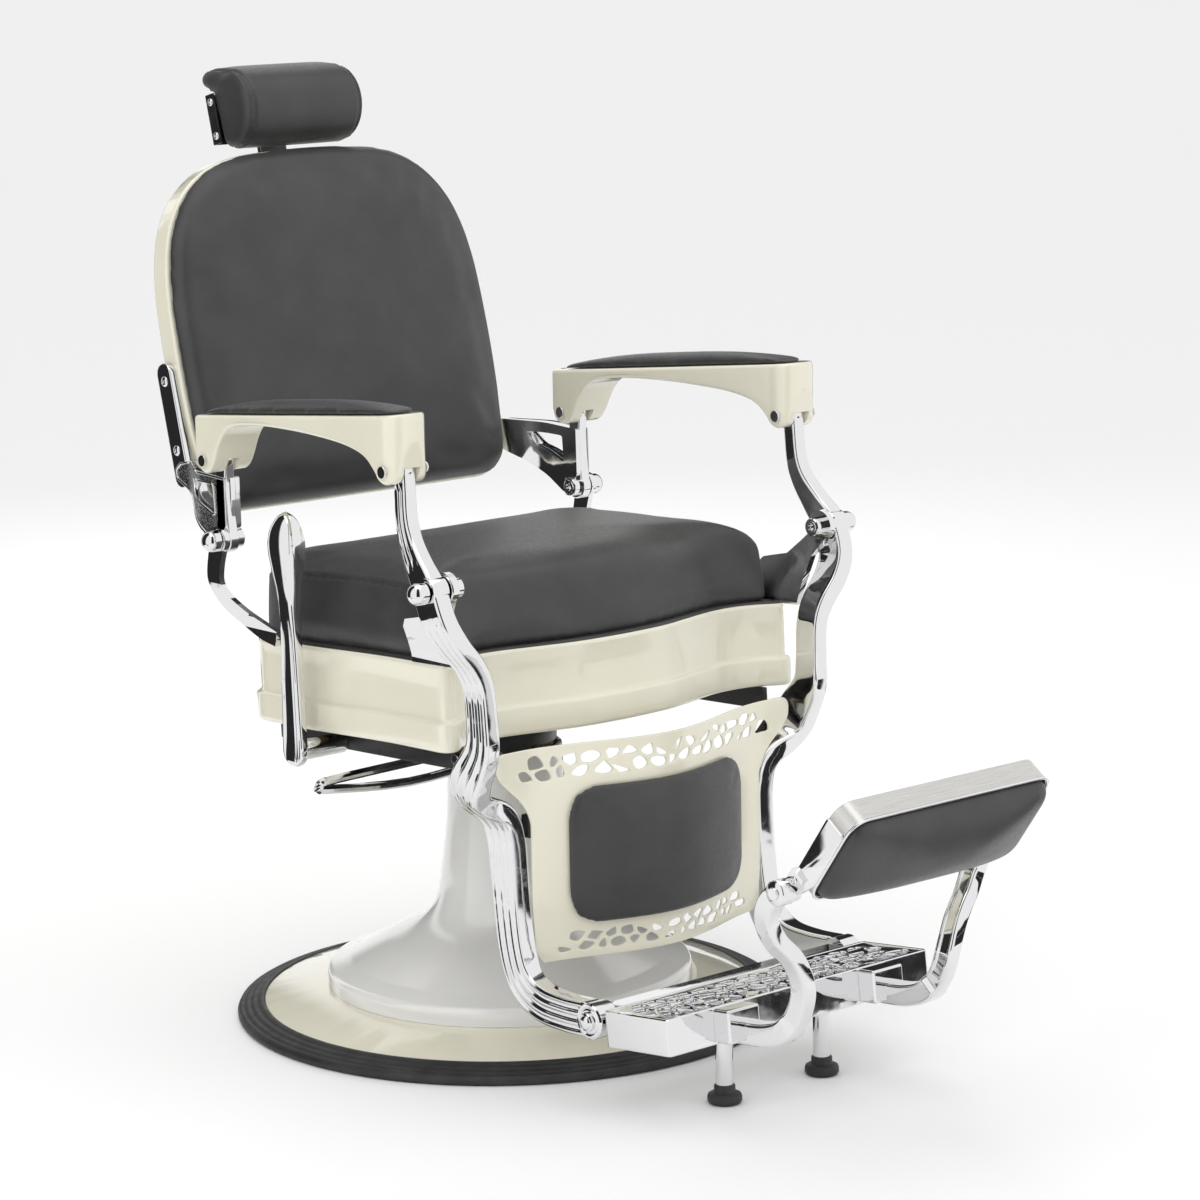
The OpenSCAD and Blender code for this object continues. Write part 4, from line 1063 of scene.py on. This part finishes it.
web_mesh = sheet_with_holes(web_outline, [web_hole], 1.0, 0.1)
ground_mesh = sheet_with_holes(grown(web_outline, -3), [grown(web_hole, 3)], 0.6, 0.1)
sliced(web_mesh, 8)
sliced(ground_mesh, 8)
REAR_STRAP = smooth([(173, 582, 30), (173, 610, 22), (174, 650, 20), (172, 684, 20)], 8)
STRAP_X = 272
STRAP_EYE = [(0, -7), (14.5, -7), (16, -5.5), (16, 5.5), (14.5, 7), (0, 7)]
SHELL_BAR = np.vstack([arc((36, 52), 14, 180, 360, 24), arc((36, 176), 14, 0, 180, 24)])
for side_name, side in SIDES.items():
    def on_web(x, y, z, lift=0.0, s=side):
        """A point of the web: z runs from 0 on its inner face to 1 on its outer face."""
        return (s * (web_x(x, True) * (1 - z) + web_x(x, False) * z + lift), x, y)

    strap = loft(upright(STRAP_X * side, REAR_STRAP[:, :2]),
                 [bar_section(w / 2, 6.9, 2.4) for _, _, w in REAR_STRAP], (side, 0, 0), 1)
    cast = join(mesh_parts(web_mesh, on_web), strap, turned((STRAP_X * side, *REAR_PIVOT), STRAP_EYE),
                turned((STRAP_X * side, *REAR_ARM_PIN), ball(12, 8)))
    rounded(piece("cast_bracket_" + side_name, *cast, CHROME, "back", "back_bracket_" + side_name, 40), 0.6)
    bar = skin([upright(x * side, grown(SHELL_BAR, -pinch)) for x, pinch in
                ((236.6, 0), (243.4, 0), (244.6, 0.5), (245.1, 1.8))])
    piece("bracket_bar_" + side_name, *bar, CHROME, "back", crease=50, place=BACK)
    for face, z, way in (("outer", 1, 1), ("inner", 0, -1)):
        lay = lambda x, y, h, k=z, w=way: on_web(x, y, k, w * h)
        piece("bracket_ground_%s_%s" % (face, side_name), *mesh_parts(ground_mesh, lay), CHROME, "back",
              crease=40, material=CAST_GROUND)
        rims = join(half_round(grown(web_outline, -1.8), 1.9), half_round(grown(web_hole, 1.6), 1.7))
        piece("bracket_rims_%s_%s" % (face, side_name), [lay(*v) for v in rims[0]], rims[1], CHROME, "back",
              crease=50)

# ---- armrests ----

ARM_UNDER = smooth([(191.5, 728), (189, 690), (184, 672), (172, 666), (160, 671), (151, 684), (142, 701),
                    (129, 717), (108, 727), (60, 733), (0, 735), (-60, 734), (-120, 730), (-158, 721),
                    (-178, 705), (-184, 697), (-195, 693), (-206, 699), (-211, 709), (-213.5, 725),
                    (-216.5, 740)], 6)[::-1]
ARM_INSIDE = smooth(ARM_INNER + [(266.5, -185)], 6)[::-1]
ARM_OUTSIDE = smooth(ARM_OUTER + [(321.5, -185)], 6)[::-1]
NOSE_Y, NOSE_LONG = -217, 30
arm_stations = np.r_[NOSE_Y + NOSE_LONG * (1 - np.cos(np.radians(np.arange(4, 90, 5)))),
                     np.arange(-186, -176, 1.5), np.arange(-176, 144, 6), np.arange(144, 186, 2),
                     187.5, 189, 190.2, 191.2, 191.8]


def arm_section_at(y):
    """Section of the left armrest at y, as points (x, y, z)."""
    inside = np.interp(y, ARM_INSIDE[:, 1], ARM_INSIDE[:, 0])
    outside = np.interp(y, ARM_OUTSIDE[:, 1], ARM_OUTSIDE[:, 0])
    turn = np.clip((y - NOSE_Y) / NOSE_LONG, 0, 1)
    blunt = math.sqrt(1 - (1 - turn) ** 2.4) * math.sqrt(min(1, (192.4 - y) / 4))
    middle, half = (inside + outside) / 2, (outside - inside) / 2 * max(0.08, blunt)
    low = np.interp(y, ARM_UNDER[:, 0], ARM_UNDER[:, 1])
    top = float(arm_top(y))
    r_top, r_low = min(4.5, half * 0.7), min(5, half * 0.7)
    sides = [low + (top - low) * k for k in (0.35, 0.65)]
    ring = np.vstack([arc((middle + half - r_low, low + r_low), r_low, -90, 0, 6),
                      [(middle + half, z) for z in sides],
                      arc((middle + half - r_top, top - r_top), r_top, 0, 90, 6),
                      arc((middle - half + r_top, top - r_top), r_top, 90, 180, 6),
                      [(middle - half, z) for z in sides[::-1]],
                      arc((middle - half + r_low, low + r_low), r_low, 180, 270, 6)])
    return np.column_stack([ring[:, 0], np.full(len(ring), y), ring[:, 1]])


def cut_out(obj, *cutters):
    """Cuts closed meshes out of an object."""
    for cutter_mesh in cutters:
        mesh = bpy.data.meshes.new("cutter")
        mesh.from_pydata([Vector(v) * MM for v in cutter_mesh[0]], [], cutter_mesh[1])
        finish_mesh(mesh, 35)
        cutter = new_object("cutter", mesh)
        modifier(obj, "BOOLEAN", operation="DIFFERENCE", solver="EXACT", object=cutter)
        remade(obj)
        bpy.data.objects.remove(cutter)
    obj.data.shade_smooth()
    obj.data.set_sharp_from_angle(angle=math.radians(40))


for side_name, side in SIDES.items():
    arm_mesh = mirror(skin([arm_section_at(y) for y in arm_stations]), side)
    arm_piece = piece("moulded_armrest_" + side_name, *arm_mesh, CREAM, "armrest_" + side_name,
                      "armrest_" + side_name, 60)
    cut_out(arm_piece, mirror(box((263.6, 134, 640), (280.4, 186.5, 683)), side),
            turned((263.6 * side, *REAR_ARM_PIN), [(0, 0), (16, 0), (16, 16.8), (0, 16.8)], side),
            mirror(box((282.8, -224, 640), (305.2, -176, 709)), side),
            turned((282.8 * side, *ARM_PIN), [(0, 0), (17, 0), (17, 22.4), (0, 22.4)], side))

# ---- screws ----


def screw_head(r, x):
    """A domed screw head with a small socket in it, which stands on x."""
    return [(0, x - 0.4), (r, x - 0.4), (r, x + 0.5), (0.88 * r, x + 1.7), (0.62 * r, x + 2.7),
            (0.44 * r, x + 3.0), (0.38 * r, x + 1.6), (0, x + 1.6)]


def screws(name, spots, body, stands_for, r):
    """Screw heads at (x, y, z) of the back's frame, on both sides, facing outwards."""
    heads = [turned((0, y, z), screw_head(r, x), side) for side in SIDES.values() for x, y, z in spots]
    piece(name, *join(*heads), CHROME, body, stands_for, 50, BACK)


screws("shell_screws", [(244.5, 36, 84), (244.5, 36, 168)], "back", "bracket_screws", 6.5)
screws("headrest_side_screws", [(95, 52, 462), (95, 52, 504)], "headrest", "headrest_screws", 5)

# ---- calf panel and footplate ----

PANEL_HALF = smooth([(224, 372), (222, 360), (210, 346), (188, 326), (176, 304), (174.5, 280), (174.5, 200),
                     (172, 150)], 4)
PANEL = both(np.vstack([[[0, 385], [190, 385]], arc((212, 373), 12, 90, 10, 4), PANEL_HALF,
                        [[162, 136], [0, 136]]]))
panel_holes = pebbles(-190, 190, 344, 379, 22, 3.4, 5) + pebbles(-142, 142, 142, 170, 20, 3.2, 8)
panel_mesh = sheet_with_holes(PANEL, panel_holes, 3, 0.6)
sliced(panel_mesh, 9)
piece("calf_openwork", *mesh_parts(panel_mesh, lambda x, y, z: (x, float(panel_y(x)) - 1.5 - z, y)),
      CREAM, "legs", "calf_panel", 40)

PLATE_HALF_W, PLATE_DEEP, PLATE_H = 200, 112, 41
plate_outline = both([(0, -PLATE_DEEP + 3), (PLATE_HALF_W - 3, -PLATE_DEEP + 3), (PLATE_HALF_W - 3, -8),
                      (172, -8), (172, 24), (0, 24)])
plate_holes = pebbles(-188, 188, -100, -14, 23, 2.7, 3)
plate_mesh = sheet_with_holes(plate_outline, plate_holes, 5, 1.2)
piece("footplate_openwork", *mesh_parts(plate_mesh, lambda x, y, z: (x, y, PLATE_H - 3.2 + z)),
      CHROME, "legs", "footplate", 40, PLATE)


def wall_ring(outline, z0, z1, thick, edge=1.2):
    """A standing wall along a closed outline, with rounded edges."""
    profile = [(0, z0 + edge), (0, z1 - edge), (-edge, z1), (-thick + edge, z1), (-thick, z1 - edge),
               (-thick, z0 + edge), (-thick + edge, z0), (-edge, z0)]
    return skin(stacked(outline, profile), wrap=True)


skirt_outline = round_rect(-PLATE_HALF_W, -PLATE_DEEP, PLATE_HALF_W, -6, 5, 4)
piece("footplate_skirt", *wall_ring(skirt_outline, 0, PLATE_H, 5), CHROME, "legs", crease=40, place=PLATE)
POST_X, POST_Y = 75, -463
ROUND = np.linspace(0, 2 * math.pi, 48, endpoint=False)
bosses = join(*[lathe([(10.2, 95), (16, 95), (16, 118), (10.2, 118)], 40, (x, POST_Y))
                for x in (-POST_X, POST_X)])
piece("post_bosses", *bosses, CHROME, "legs")

FOOT_PROFILE = [(0.01, 0), (15, 0), (18, 1), (19.5, 3.5), (19.5, 8), (18.6, 10.5), (15.5, 12.2), (12.6, 13),
                (12, 15), (12, 20), (11, 21.4), (0.01, 21.6)]
feet = join(*[skin([np.column_stack([x + r * np.cos(ROUND), POST_Y + r * np.sin(ROUND),
                                     np.full(len(ROUND), z)]) for r, z in FOOT_PROFILE])
              for x in (-POST_X, POST_X)])
piece("moulded_feet", *feet, "black_rubber", "legs", "rubber_feet", 50)

# ---- foot pad ----

FOOT_PIVOT = (-649, 293)
ARM_PATH = smooth([(110, -514, 104), (109, -540, 106), (109, -572, 110), (109, -600, 121), (109, -619, 144),
                   (111, -628, 175), (124, -627, 206), (146, -622, 232), (158, -622, 258),
                   (161, -634, 282), (161, -649, 293)], 8)
pad_path = even_path(ARM_PATH, 4)
arm_sections = []
for x, y, z in pad_path:
    depth = 2.2 * window(z, 150, 268, 8)
    arm_sections.append(bar_section(12.5, 9 if z > 130 else 12, 3.5, grooves((0,), 0.5, 0.07, depth)))
band_outline = round_rect(-FOOT_HALF_W, -FOOT_LEN, FOOT_HALF_W, -10, 22, 8)
PAD_BOSS = [(0, -9), (12, -9), (14, -7.5), (14, 9), (12.5, 10.6), (0, 11)]
HINGE_BARREL = [(0, 0), (11.4, 0), (12.4, 1), (12.4, 10), (11.6, 11.4), (0, 11.5)]
HINGE_SCREW = [(0, 0), (4.4, 0), (4.4, 1.6), (3.2, 2.2), (2.4, 1.4), (0, 1.4)]
END_PLATE = np.vstack([[(-106, 3.2), (-108, 1), (-108, -23), (-105, -25.8), (-34, -25.8), (-12, -16)],
                       arc((0, 0), 12, 250, 440, 14), [(-12, 9), (-28, 3.2)]])
for side_name, side in SIDES.items():
    arm = join(loft(pad_path, arm_sections, (-1, 0, 0)), turned((161, *FOOT_PIVOT), PAD_BOSS))
    piece("pad_arm_casting_" + side_name, *mirror(arm, side), CHROME, "legs", "pad_arm_" + side_name, 50)
    root = mirror(box((87, -137, 2), (134, -111, 40)), side)
    rounded(piece("pad_arm_root_" + side_name, *root, CHROME, "legs", place=PLATE), 3)
    x0 = FOOT_HALF_W - 2.6
    end_plate = skin([upright(x, END_PLATE + np.sign([[-60, -10]] - END_PLATE) * pinch)
                      for x, pinch in ((x0, 0), (x0 + 4, 0), (x0 + 4.9, 0.5), (x0 + 5.2, 1.3))])
    hinge = join(turned((FOOT_HALF_W - 9, 0, 0), HINGE_BARREL),
                 box((FOOT_HALF_W - 6, -30, -14), (FOOT_HALF_W + 7, -13, 6)),
                 turned((FOOT_HALF_W + 6.2, -21, -4), HINGE_SCREW))
    rounded(piece("pad_end_plate_" + side_name, *mirror(join(end_plate, hinge), side), CHROME, "foot_pad",
                  place=FOOT), 0.8)
piece("pad_band", *wall_ring(band_outline, -26, 2.4, 2.4, 0.7), "brushed_band", "foot_pad",
      "foot_pad_tray", 40, FOOT)
rim_path = grown(band_outline, -0.4)
rim_profile = arc((0, -26.4), 1.7, 0, 360, 10)[:-1]
piece("pad_rim", *skin(stacked(rim_path, rim_profile), wrap=True), CHROME, "foot_pad", crease=60, place=FOOT)
cover_outline = even(round_rect(-FOOT_HALF_W + 2.5, -FOOT_LEN + 2.5, FOOT_HALF_W - 2.5, -13, 20), 6)
cover = pillow(cover_outline, -1.5, 2.2, 1.6, 1.2, np.array([0, -70]))
piece("pad_back_cover", *skin(cover), CHROME, "foot_pad", crease=50, place=FOOT)

# ---- the floor and the end ----

FLOOR_HALF = 90
floor = new_object("floor", bpy.data.meshes.new("floor"))
floor.data.from_pydata([(-1, -1, 0), (1, -1, 0), (1, 1, 0), (-1, 1, 0)], [], [(0, 1, 2, 3)])
floor.scale = (FLOOR_HALF, FLOOR_HALF, 1)
floor_look = Look("pale_floor", (0.93, 0.93, 0.93), 0.7)
floor_look.set("Specular IOR Level", 0.2)
floor_look.vary(floor_look.spread(floor_look.noise(0.9, 2), 0, 1), (0.925, 0.925, 0.925),
                (0.935, 0.935, 0.935))
floor.data.materials.append(floor_look.mat)
